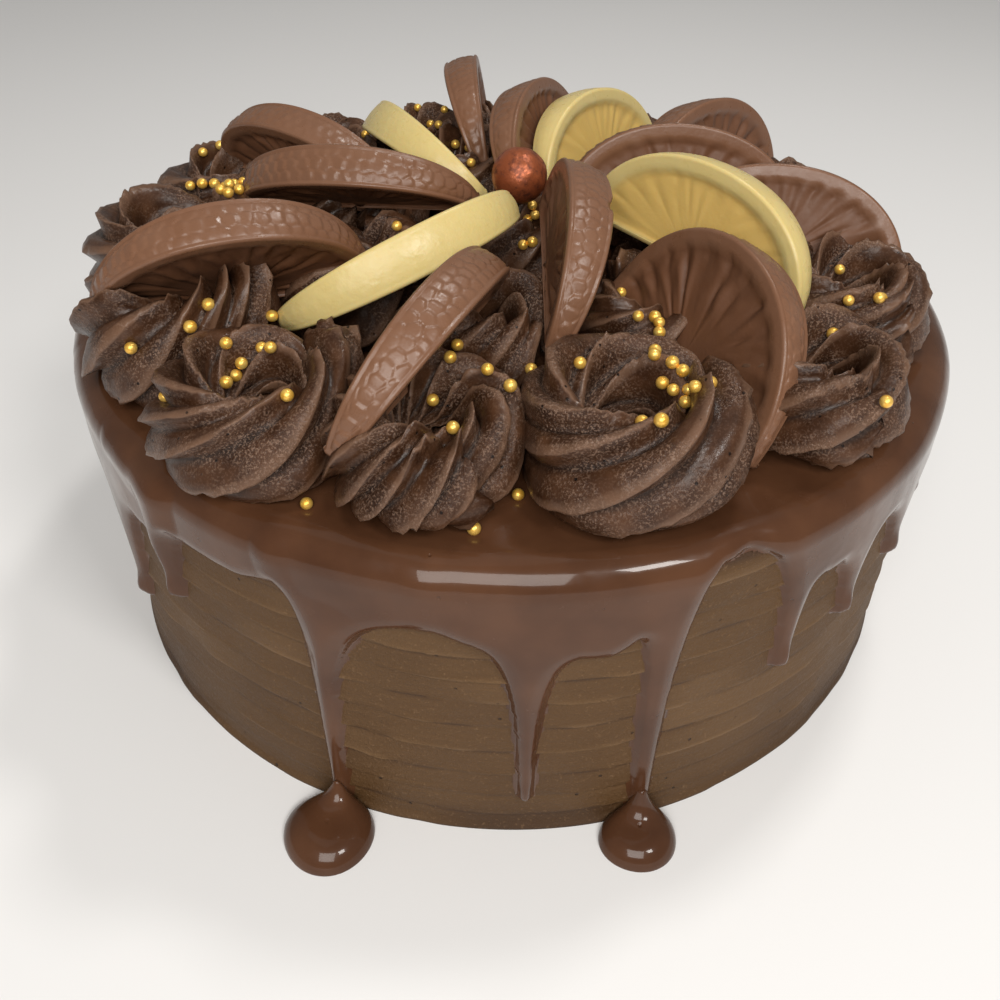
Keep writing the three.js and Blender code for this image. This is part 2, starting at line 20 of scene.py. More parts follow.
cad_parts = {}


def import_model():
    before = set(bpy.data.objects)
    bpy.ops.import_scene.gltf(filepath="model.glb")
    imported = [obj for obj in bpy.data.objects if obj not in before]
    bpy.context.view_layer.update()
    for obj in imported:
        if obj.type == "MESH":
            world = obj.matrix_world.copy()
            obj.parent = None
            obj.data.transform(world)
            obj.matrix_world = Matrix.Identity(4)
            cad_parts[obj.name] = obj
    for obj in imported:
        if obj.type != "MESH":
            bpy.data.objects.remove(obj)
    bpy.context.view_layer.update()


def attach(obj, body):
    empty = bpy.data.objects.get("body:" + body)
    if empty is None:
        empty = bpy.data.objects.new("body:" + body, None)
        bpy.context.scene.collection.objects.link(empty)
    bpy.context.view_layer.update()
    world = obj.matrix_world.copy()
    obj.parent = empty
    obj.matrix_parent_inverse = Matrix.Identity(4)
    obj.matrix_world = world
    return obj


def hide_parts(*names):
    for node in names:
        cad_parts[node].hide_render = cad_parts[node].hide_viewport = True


MM = 0.001
BODY = "root"
LOG = logging.getLogger("cake")

AXIS_PRIMES = (73856093, 19349663, 83492791)
SEED_PRIME = 2654435761
MIX_PRIMES = (2246822519, 3266489917)
WORD = 0xFFFFFFFF
HALF_WORD = 0xFFFF

Array = np.ndarray
Colour = tuple[float, float, float]
Place = tuple[float, float, float]


# ------------------------------------------------------------------ small maths


def ease(value: Array, low: float, high: float) -> Array:
    """Rise smoothly from 0 at low to 1 at high."""
    share = np.clip((value - low) / (high - low), 0.0, 1.0)
    return share * share * (3.0 - 2.0 * share)


def turn_between(start: Array, end: Array) -> Array:
    """Smallest signed angle in degrees from start to end."""
    return (np.asarray(end) - start + 180.0) % 360.0 - 180.0


def full_turn(count: int) -> Array:
    """Evenly spaced angles in radians round one full turn."""
    return np.linspace(0.0, 2.0 * np.pi, count, endpoint=False)


def round_axis(azimuth: Array, reach: Array, level: Array) -> Array:
    """Points at azimuths in radians, distances from the cake's axis and levels."""
    places = np.broadcast_arrays(np.cos(azimuth) * reach, np.sin(azimuth) * reach, level)
    return np.stack(places, axis=-1)


def polar(azimuth: float, distance: float, height: float) -> Vector:
    """Point at an azimuth in degrees, a distance from the cake's axis and a height."""
    angle = math.radians(azimuth)
    return Vector((distance * math.cos(angle), distance * math.sin(angle), height))


@dataclass(frozen=True)
class SmoothNoise:
    """Repeatable value noise in three dimensions.

    Attributes:
        seed: picks one noise field.
        cell: length of one wave, in metres.
    """

    seed: int
    cell: float

    def _corner(self, whole: Array) -> Array:
        """Random value for each whole-numbered corner.

        Args:
            whole: array of whole numbers whose last axis is X, Y, Z.

        Returns:
            One value from -1 to 1 for each corner.
        """
        spread = whole * AXIS_PRIMES
        mixed = spread[..., 0] ^ spread[..., 1] ^ spread[..., 2]
        mixed = (mixed + self.seed * SEED_PRIME) & WORD
        mixed = ((mixed ^ (mixed >> 15)) * MIX_PRIMES[0]) & WORD
        mixed = ((mixed ^ (mixed >> 13)) * MIX_PRIMES[1]) & WORD
        return ((mixed ^ (mixed >> 16)) & HALF_WORD) / (HALF_WORD / 2) - 1.0

    def at(self, points: Array) -> Array:
        """Noise from -1 to 1 at each point.

        Args:
            points: array whose last axis is X, Y, Z in metres.

        Returns:
            One value for each point.
        """
        scaled = np.asarray(points, dtype=float) / self.cell
        whole = np.floor(scaled).astype(np.int64)
        part = scaled - whole
        part = part * part * (3.0 - 2.0 * part)
        total = np.zeros(scaled.shape[:-1])
        for corner in np.ndindex(2, 2, 2):
            offset = np.array(corner)
            weight = np.prod(np.where(offset == 1, part, 1.0 - part), axis=-1)
            total += weight * self._corner(whole + offset)
        return total


# ------------------------------------------------------------------ meshes


@dataclass
class MeshDraft:
    """Points and four-cornered faces gathered for one mesh."""

    points: list[Array] = field(default_factory=list)
    faces: list[Array] = field(default_factory=list)
    count: int = 0

    def add_grid(self, grid: Array, wrap: bool = True, keep: Array | None = None) -> int:
        """Add a sheet of points, joined to their neighbours.

        Args:
            grid: array of rows, columns and X, Y, Z.
            wrap: whether the last column joins the first.
            keep: for each row and column, whether the face that starts there stays.

        Returns:
            Index of the sheet's first point.
        """
        rows, columns = grid.shape[:2]
        first = self.count
        index = first + np.arange(rows * columns).reshape(rows, columns)
        across = np.roll(index, -1, axis=1) if wrap else index[:, 1:]
        here = index if wrap else index[:, :-1]
        faces = np.stack([here[:-1], across[:-1], across[1:], here[1:]], axis=-1)
        if keep is not None:
            faces = faces[keep[: rows - 1, : faces.shape[1]]]
        self.points.append(grid.reshape(-1, 3))
        self.faces.append(faces.reshape(-1, 4))
        self.count += rows * columns
        return first

    def add_cap(self, ring: Array, pole: Vector, is_last: bool) -> None:
        """Close a ring of point indices with a fan to a pole.

        Args:
            ring: indices of the ring's points, in order.
            pole: the fan's middle.
            is_last: whether the ring ends its sheet, which turns the fan over.
        """
        self.points.append(np.array([pole[:]]))
        middle = np.full(len(ring), self.count)
        following = np.roll(ring, -1)
        corners = [ring, following, middle] if is_last else [following, ring, middle]
        self.faces.append(np.stack([*corners, middle], axis=-1))
        self.count += 1

    def add_closed_grid(self, grid: Array, first_pole: Vector, last_pole: Vector) -> None:
        """Add a wrapped sheet of points with a fan at each end.

        Args:
            grid: array of rows, columns and X, Y, Z.
            first_pole: middle of the fan before the first row.
            last_pole: middle of the fan after the last row.
        """
        rows, columns = grid.shape[:2]
        first = self.add_grid(grid)
        self.add_cap(np.arange(first, first + columns), first_pole, False)
        start = first + (rows - 1) * columns
        self.add_cap(np.arange(start, start + columns), last_pole, True)

    def add_triangles(self, points: Array, triangles: Array) -> None:
        """Add a ready mesh of triangles.

        Args:
            points: its points.
            triangles: three point indices for each triangle.
        """
        self.points.append(points)
        self.faces.append(np.concatenate([triangles, triangles[:, -1:]], axis=1) + self.count)
        self.count += len(points)

    def build(self, name: str) -> bpy.types.Object:
        """Make the Blender object, smooth shaded, without loose points.

        Args:
            name: the piece's name.

        Returns:
            The new object, linked to the scene.
        """
        points = np.concatenate(self.points)
        faces = np.concatenate(self.faces)
        used, faces = np.unique(faces, return_inverse=True)
        points, faces = points[used], faces.reshape(-1, 4)
        is_triangle = faces[:, 2] == faces[:, 3]
        totals = np.where(is_triangle, 3, 4)
        corners = faces[np.arange(4)[None, :] < totals[:, None]]
        mesh = bpy.data.meshes.new(name)
        mesh.vertices.add(len(points))
        mesh.vertices.foreach_set("co", points.astype(np.float32).ravel())
        mesh.loops.add(len(corners))
        mesh.loops.foreach_set("vertex_index", corners.astype(np.int32))
        mesh.polygons.add(len(faces))
        mesh.polygons.foreach_set("loop_start", (np.cumsum(totals) - totals).astype(np.int32))
        mesh.update(calc_edges=True)
        mesh.validate()
        mesh.polygons.foreach_set("use_smooth", np.ones(len(mesh.polygons), dtype=bool))
        piece = bpy.data.objects.new(name, mesh)
        bpy.context.scene.collection.objects.link(piece)
        return piece


def surface_tree(piece: bpy.types.Object) -> BVHTree:
    """Search tree of a piece's faces in the model's frame."""
    points = [piece.matrix_world @ vertex.co for vertex in piece.data.vertices]
    return BVHTree.FromPolygons(points, [tuple(face.vertices) for face in piece.data.polygons])


def paint_closed_grid(piece: bpy.types.Object, name: str, values: Array) -> None:
    """Keep one number for each point of a closed grid, for its finish to read.

    Args:
        piece: a piece made of one closed grid.
        name: name of the numbers.
        values: one number for each point of the grid; its two poles get 0.
    """
    attribute = piece.data.attributes.new(name, "FLOAT", "POINT")
    attribute.data.foreach_set("value", np.append(values.ravel(), [0.0, 0.0]).astype(np.float32))


class Slot(Enum):
    """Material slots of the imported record."""

    BUTTERCREAM = "buttercream"
    GANACHE = "ganache"
    ROSETTE = "piped_rosette"
    MILK = "milk_chocolate"
    WHITE = "white_chocolate"
    COPPER = "copper_ball"
    GOLD = "gold_pearl"


def stand_for(piece: bpy.types.Object, finish: bpy.types.Material, slot: Slot, *nodes: str) -> None:
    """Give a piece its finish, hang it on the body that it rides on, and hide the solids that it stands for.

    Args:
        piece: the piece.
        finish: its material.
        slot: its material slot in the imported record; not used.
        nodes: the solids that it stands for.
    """
    piece.data.materials.append(finish)
    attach(piece, BODY)
    if nodes:
        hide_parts(*nodes)


# ------------------------------------------------------------------ finishes


class Bench:
    """A material and the nodes laid out in it."""

    def __init__(self, name: str) -> None:
        """Start a material with one main shader.

        Args:
            name: the material's name.
        """
        self.material = bpy.data.materials.new(name)
        self.material.use_nodes = True
        self.tree = self.material.node_tree
        self.shader = self.tree.nodes["Principled BSDF"]
        self.place = self.tree.nodes.new("ShaderNodeTexCoord").outputs["Object"]

    def node(self, kind: str, inputs: dict[str | int, object], **settings: object) -> bpy.types.Node:
        """Add a node.

        Args:
            kind: the node's type without its ShaderNode prefix.
            inputs: socket name or number to a value or to another node's output.
            settings: the node's own properties.

        Returns:
            The new node.
        """
        made = self.tree.nodes.new("ShaderNode" + kind)
        for key, value in settings.items():
            setattr(made, key, value)
        for key, value in inputs.items():
            self.feed(made.inputs[key], value)
        return made

    def feed(self, socket: bpy.types.NodeSocket, value: object) -> None:
        """Set a socket to a value, or link another node's output to it.

        Args:
            socket: the socket.
            value: a number, a colour or another node's output.
        """
        if isinstance(value, bpy.types.NodeSocket):
            self.tree.links.new(value, socket)
        elif isinstance(value, tuple) and len(value) == 3 and socket.type == "RGBA":
            socket.default_value = (*value, 1.0)
        else:
            socket.default_value = value

    def stretched(self, stretch: Place) -> bpy.types.NodeSocket:
        """Object coordinates scaled along each axis."""
        return self.node("Mapping", {"Vector": self.place, "Scale": stretch}).outputs["Vector"]

    def noise(self, size: float, detail: float = 3.0, roughness: float = 0.5,
              place: bpy.types.NodeSocket | None = None) -> bpy.types.NodeSocket:
        """Noise whose waves have a size in metres."""
        inputs = {"Vector": place or self.place, "Scale": 1.0 / size, "Detail": detail,
                  "Roughness": roughness}
        return self.node("TexNoise", inputs).outputs["Fac"]

    def cells(self, size: float) -> bpy.types.NodeSocket:
        """Distance to the nearest of many scattered points a size in metres apart."""
        inputs = {"Vector": self.place, "Scale": 1.0 / size, "Randomness": 1.0}
        return self.node("TexVoronoi", inputs, feature="F1").outputs["Distance"]

    def painted(self, name: str) -> bpy.types.NodeSocket:
        """The numbers kept for the points of a piece under a name."""
        return self.node("Attribute", {}, attribute_name=name).outputs["Fac"]

    def window(self, value: bpy.types.NodeSocket, low: float, high: float,
               to_low: float = 0.0, to_high: float = 1.0) -> bpy.types.NodeSocket:
        """Map the stretch from low to high onto another stretch, and clamp beyond it."""
        inputs = {0: value, 1: low, 2: high, 3: to_low, 4: to_high}
        return self.node("MapRange", inputs, clamp=True).outputs[0]

    def blend(self, share: object, first: object, second: object) -> bpy.types.NodeSocket:
        """Colour between two colours."""
        inputs = {"Factor": share, 6: first, 7: second}
        return self.node("Mix", inputs, data_type="RGBA").outputs[2]

    def sum(self, first: object, second: object, operation: str = "ADD") -> bpy.types.NodeSocket:
        """Two numbers joined by a maths operation."""
        return self.node("Math", {0: first, 1: second}, operation=operation).outputs[0]

    def bump(self, height: bpy.types.NodeSocket, depth: float,
             under: bpy.types.NodeSocket | None = None) -> bpy.types.NodeSocket:
        """Surface relief, laid over another relief.

        Args:
            height: the relief's height from 0 to 1.
            depth: its depth in metres.
            under: the other relief.

        Returns:
            The bent normal.
        """
        inputs = {"Height": height, "Distance": depth, "Strength": 1.0}
        if under is not None:
            inputs["Normal"] = under
        return self.node("Bump", inputs).outputs["Normal"]

    def finish(self, **inputs: object) -> bpy.types.Material:
        """Set the main shader's sockets.

        Args:
            inputs: name of each socket, with _ for a space, and its value.

        Returns:
            The material.
        """
        for key, value in inputs.items():
            self.feed(self.shader.inputs[key.replace("_", " ")], value)
        return self.material


@dataclass(frozen=True)
class ScrapedButtercream:
    """Matte chocolate buttercream, drawn round with a scraper."""

    base: Colour = (0.080, 0.039, 0.0125)
    pale: Colour = (0.112, 0.058, 0.021)
    # dark: painted shade inside the pits.
    dark: Colour = (0.036, 0.017, 0.008)
    # shade: painted shadow under the lips and painted shade towards the foot, with some random tone. light:
    # a painted highlight along the lips.
    shade: Colour = (0.048, 0.022, 0.008)
    light: Colour = (0.185, 0.105, 0.046)
    glint: Colour = (0.23, 0.14, 0.075)
    streak: float = 1.1 * MM
    cloud: float = 24 * MM
    pit: float = 6.5 * MM
    grain: float = 0.8 * MM
    drawn_out: Place = (0.06, 0.06, 1.0)

    def build(self) -> bpy.types.Material:
        """Lay out the material.

        Returns:
            The new material.
        """
        bench = Bench("scraped_buttercream")
        drawn = bench.stretched(self.drawn_out)
        streaks = bench.noise(self.streak, 4.0, 0.6, drawn)
        clouds = bench.noise(self.cloud, 3.0)
        band = bench.painted("band")
        share = bench.sum(bench.window(streaks, 0.35, 0.7), bench.window(clouds, 0.3, 0.7), "MULTIPLY")
        colour = bench.blend(bench.window(share, 0.0, 1.0, 0.0, 0.5), self.base, self.pale)
        # Painted light from the band numbers: low values take the shade colour, painted shadow under each
        # lip and painted shade towards the foot; high values take the light colour, a painted highlight
        # along each lip.
        colour = bench.blend(bench.window(band, 0.0, 0.35), self.shade, colour)
        colour = bench.blend(bench.window(band, 0.45, 0.9, 0.0, 0.8), colour, self.light)
        # Small pits, with painted shade inside them.
        pits = bench.window(bench.cells(self.pit), 0.025, 0.065)
        colour = bench.blend(pits, self.dark, colour)
        grain = bench.noise(self.grain, 3.0, 0.7)
        # Painted glints: grain spots lightened with the glint colour.
        painted_glints = bench.window(grain, 0.58, 0.72, 0.0, 0.45)
        colour = bench.blend(painted_glints, colour, self.glint)
        relief = bench.bump(streaks, 0.12 * MM)
        relief = bench.bump(grain, 0.35 * MM, relief)
        relief = bench.bump(pits, 0.5 * MM, relief)
        return bench.finish(Base_Color=colour, Roughness=bench.window(grain, 0.3, 0.7, 0.5, 0.72),
                            Specular_IOR_Level=0.3, Normal=relief)


@dataclass(frozen=True)
class PouredGanache:
    """Glossy dark ganache with a few pin bubbles."""

    base: Colour = (0.060, 0.024, 0.011)
    warm: Colour = (0.090, 0.038, 0.018)
    cloud: float = 16 * MM
    sag: float = 9 * MM
    bubble: float = 7 * MM
    smear: float = 5 * MM

    def build(self) -> bpy.types.Material:
        """Lay out the material.

        Returns:
            The new material.
        """
        bench = Bench("poured_ganache")
        clouds = bench.window(bench.noise(self.cloud, 4.0), 0.35, 0.7)
        colour = bench.blend(clouds, self.base, self.warm)
        bubbles = bench.window(bench.cells(self.bubble), 0.03, 0.06)
        relief = bench.bump(bench.noise(self.sag, 2.0), 0.25 * MM)
        relief = bench.bump(bubbles, 0.18 * MM, relief)
        rough = bench.window(bench.noise(self.smear, 4.0), 0.3, 0.75, 0.15, 0.30)
        return bench.finish(Base_Color=colour, Roughness=rough, Specular_IOR_Level=0.1,
                            Coat_Weight=0.4, Coat_Roughness=0.05, Normal=relief)


@dataclass(frozen=True)
class PipedCream:
    """Very dark, moist and grainy piped buttercream."""

    base: Colour = (0.030, 0.0112, 0.0045)
    pale: Colour = (0.074, 0.032, 0.015)
    # dark: painted shade in the grooves and pores.
    dark: Colour = (0.010, 0.004, 0.002)
    # lip: a painted highlight on the crests.
    lip: Colour = (0.175, 0.097, 0.060)
    glint: Colour = (0.26, 0.165, 0.115)
    cloud: float = 6 * MM
    patch: float = 9 * MM
    pore: float = 3.6 * MM
    grain: float = 0.6 * MM
    sparkle: float = 0.5 * MM

    def build(self) -> bpy.types.Material:
        """Lay out the material.

        Returns:
            The new material.
        """
        bench = Bench("piped_cream")
        crest = bench.painted("crest")
        clouds = bench.window(bench.noise(self.cloud, 4.0), 0.35, 0.7)
        # Painted shade darkens the grooves with the dark colour, and a painted highlight lightens the crests
        # with the lip colour.
        groove = bench.window(crest, 0.0, 0.4)
        colour = bench.blend(groove, self.dark, bench.blend(clouds, self.base, self.pale))
        colour = bench.blend(bench.window(crest, 0.90, 1.0, 0.0, 0.65), colour, self.lip)
        fine = bench.noise(self.grain, 3.0, 0.75)
        patches = bench.window(bench.noise(self.patch, 3.0), 0.42, 0.62, 0.15, 1.0)
        pores = bench.window(bench.cells(self.pore), 0.05, 0.10)
        # Painted glints: fine spots in patches, lightened with the glint colour.
        glints = bench.window(bench.noise(self.sparkle, 1.0, 0.8), 0.50, 0.66, 0.0, 0.6)
        painted_glints = bench.sum(glints, patches, "MULTIPLY")
        colour = bench.blend(painted_glints, colour, self.glint)
        # Painted shade inside the pores.
        colour = bench.blend(pores, self.dark, colour)
        relief = bench.bump(bench.sum(fine, patches, "MULTIPLY"), 0.5 * MM)
        relief = bench.bump(pores, 0.35 * MM, relief)
        wet = bench.bump(bench.sum(bench.noise(self.sparkle, 2.0, 0.7), patches, "MULTIPLY"), 0.45 * MM)
        return bench.finish(Base_Color=colour, Roughness=bench.window(fine, 0.3, 0.7, 0.3, 0.5),
                            Specular_IOR_Level=0.12, Coat_Weight=0.3, Coat_Roughness=0.16,
                            Coat_Normal=wet, Normal=relief)


@dataclass(frozen=True)
class MouldedChocolate:
    """Semi-gloss moulded chocolate, with painted shade deepening its colour where the face is sunken."""

    name: str
    base: Colour
    # deep: painted shade colour of the sunken face.
    deep: Colour
    bloom: Colour
    translucency: float
    roughness: float
    cloud: float = 7 * MM
    smear: float = 2.5 * MM
    ripple: float = 3.5 * MM
    grain: float = 0.8 * MM
    scuff: float = 0.7 * MM

    def build(self) -> bpy.types.Material:
        """Lay out the material.

        Returns:
            The new material.
        """
        bench = Bench(self.name)
        sunken = bench.painted("sunken")
        clouds = bench.window(bench.noise(self.cloud, 4.0), 0.4, 0.75, 0.0, 0.35)
        colour = bench.blend(clouds, self.base, self.bloom)
        # Painted shade: the sunken face takes the deep colour.
        colour = bench.blend(sunken, colour, self.deep)
        scuffs = bench.window(bench.noise(self.scuff, 5.0, 0.7), 0.66, 0.74, 0.0, 0.35)
        colour = bench.blend(scuffs, colour, self.bloom)
        relief = bench.bump(bench.noise(self.grain, 3.0), 0.05 * MM)
        relief = bench.bump(bench.noise(self.ripple, 2.0), 0.06 * MM, relief)
        rough = bench.window(bench.noise(self.smear, 4.0), 0.3, 0.7,
                             self.roughness - 0.06, self.roughness + 0.1)
        rough = bench.sum(rough, bench.window(sunken, 0.0, 1.0, 0.0, 0.24))
        return bench.finish(Base_Color=colour, Roughness=rough, Specular_IOR_Level=0.36, Normal=relief,
                            Subsurface_Weight=self.translucency, Subsurface_Scale=2.0 * MM,
                            Subsurface_Radius=(1.0, 0.55, 0.25))


@dataclass(frozen=True)
class CopperLustre:
    """Copper lustre dust over a chocolate ball."""

    base: Colour = (0.34, 0.09, 0.033)
    worn: Colour = (0.13, 0.035, 0.018)
    wear: float = 2.2 * MM
    dust: float = 1.3 * MM

    def build(self) -> bpy.types.Material:
        """Lay out the material.

        Returns:
            The new material.
        """
        bench = Bench("copper_lustre")
        worn = bench.window(bench.noise(self.wear, 5.0, 0.65), 0.48, 0.66)
        colour = bench.blend(worn, self.base, self.worn)
        relief = bench.bump(bench.noise(self.dust, 4.0, 0.6), 0.16 * MM)
        return bench.finish(Base_Color=colour, Metallic=0.55, Normal=relief,
                            Roughness=bench.window(worn, 0.0, 1.0, 0.34, 0.5))


@dataclass(frozen=True)
class GoldPearl:
    """Satin gold sugar pearl."""

    base: Colour = (0.82, 0.44, 0.055)
    pale: Colour = (0.93, 0.64, 0.17)
    cloud: float = 1.4 * MM
    grain: float = 0.35 * MM

    def build(self) -> bpy.types.Material:
        """Lay out the material.

        Returns:
            The new material.
        """
        bench = Bench("gold_pearl")
        clouds = bench.window(bench.noise(self.cloud, 3.0), 0.35, 0.7)
        colour = bench.blend(clouds, self.base, self.pale)
        relief = bench.bump(bench.noise(self.grain, 2.0), 0.03 * MM)
        return bench.finish(Base_Color=colour, Metallic=0.55, Roughness=0.33, Normal=relief)


# ------------------------------------------------------------------ cake body


@dataclass
class ScrapedBody:
    """The straight-sided cake, coated in buttercream and scraped in level bands.

    Attributes:
        finish: its material.
        radius: radius of its side.
        height: its height.
        rim: radius of its rounded rim.
        band_pitch: height of one band.
        band_step: how far a band stands out at its lower edge.
        lip: height of the torn lip between two bands.
        wander: how far the bands wander up and down.
        dent: depth of the dents.
        streak: depth of the fine streaks.
        inset: how far the relief is set in, so that it stays round the side.
        foot: height over which the side is drawn in to the foot.
        foot_shade: height over which the side darkens to the foot.
        columns: points round the side.
        rows: points down the side.
        visible_height: height from which the side is made with bands.
    """

    finish: bpy.types.Material
    radius: float = 106.6 * MM
    height: float = 78.5 * MM
    rim: float = 4.7 * MM
    band_pitch: float = 7.4 * MM
    band_step: float = 0.75 * MM
    lip: float = 0.35 * MM
    wander: float = 0.9 * MM
    dent: float = 0.2 * MM
    streak: float = 0.06 * MM
    inset: float = 0.55 * MM
    foot: float = 2.2 * MM
    foot_shade: float = 16 * MM
    columns: int = 440
    rows: int = 124
    visible_height: float = 74 * MM

    def side(self) -> tuple[Array, Array]:
        """Points of the side from the rim's foot down to the surface it stands on.

        Returns:
            Array of rows, columns and X, Y, Z, and how pale each point is from 0 to 1, random tone with
            painted light laid in.
        """
        height = np.linspace(self.visible_height, 0.0, self.rows)
        across, up = np.meshgrid(full_turn(self.columns), height)
        ring = round_axis(across, self.radius, up)
        drift = SmoothNoise(11, 46 * MM).at(ring * (1, 1, 0.2))
        drift = drift + 0.5 * SmoothNoise(12, 17 * MM).at(ring * (1, 1, 0.1))
        wandering = up + self.wander * drift + self.wander * np.sin(up / (9 * MM))
        bands = wandering / self.band_pitch + 0.15
        share = bands - np.floor(bands)
        number = np.floor(bands)
        along = np.stack([ring[..., 0], ring[..., 1], number * 0.3], axis=-1)
        torn = ease(SmoothNoise(13, 9 * MM).at(along), -0.45, 0.35)
        edge = np.exp(-(share / 0.1) ** 2)
        step = (1 - share) ** 0.8 * ease(share, 0.0, 0.06) * self.band_step * (0.35 + 0.65 * torn)
        streaks = SmoothNoise(14, 0.9 * MM).at(np.stack([across * 6 * MM, number, up], axis=-1))
        dents = SmoothNoise(15, 14 * MM).at(ring * (1, 1, 1.6))
        relief = step + self.lip * edge * torn + self.streak * streaks + self.dent * dents - self.inset
        # Random tone with painted light laid in: a painted highlight along the lip at the foot of each band,
        # painted shadow at the top of each band under the lip above, and painted shade towards the foot.
        tone = 0.42 + 0.2 * SmoothNoise(16, 22 * MM).at(along + number[..., None] * 0.37)
        tone = tone + 0.5 * edge * torn - 0.55 * np.exp(-((1 - share) / 0.08) ** 2) * torn
        tone = (tone - 0.25 * (1 - ease(up, 0.0, self.foot_shade))).clip(0.0, 1.0)
        foot = ease(up, 0.0, self.foot)
        reach = self.radius + relief * foot + (1 - foot) * (0.35 * MM + 0.25 * MM * torn)
        return round_axis(across, reach, up), tone

    def build(self) -> bpy.types.Object:
        """Make the piece that stands for the cake's solid.

        Returns:
            The piece.
        """
        side, tone = self.side()
        rim = []
        for tilt in np.radians([90.0, 60.0, 30.0]):
            reach = self.radius - self.rim * (1 - math.cos(tilt))
            level = self.height - self.rim * (1 - math.sin(tilt))
            rim.append(round_axis(full_turn(self.columns), reach, level))
        draft = MeshDraft()
        grid = np.concatenate([np.array(rim), side])
        draft.add_closed_grid(grid, Vector((0, 0, self.height)), Vector((0, 0, 0)))
        piece = draft.build("scraped_cake_body")
        # The rim rows get 0, which gives them the painted shade colour in full.
        paint_closed_grid(piece, "band", np.concatenate([np.zeros((len(rim), self.columns)), tone]))
        stand_for(piece, self.finish, Slot.BUTTERCREAM, "cake_body")
        return piece


# ------------------------------------------------------------------ ganache


@dataclass(frozen=True)
class Drip:
    """One run of ganache down the side.

    Attributes:
        at: azimuth in degrees.
        half: half of its width, in degrees.
        tip: height of its end, in millimetres.
        left: how gently the hem falls to it on the side of smaller azimuths, in degrees.
        right: the same on the side of larger azimuths.
        bead: extra thickness at its end, in millimetres.
        neck: share of its fall that is a narrow neck.
    """

    at: float
    half: float
    tip: float
    left: float
    right: float
    bead: float = 0.9
    neck: float = 0.25


@dataclass(frozen=True)
class Pool:
    """A blob of ganache at the foot of a drip.

    Attributes:
        x: place of its middle, in millimetres.
        y: place of its middle, in millimetres.
        outwards: half of its length away from the cake, in millimetres.
        across: half of its width, in millimetres.
        height: its height, in millimetres.
        drip: azimuth of the drip that feeds it, in degrees.
    """

    x: float
    y: float
    outwards: float
    across: float
    height: float
    drip: float


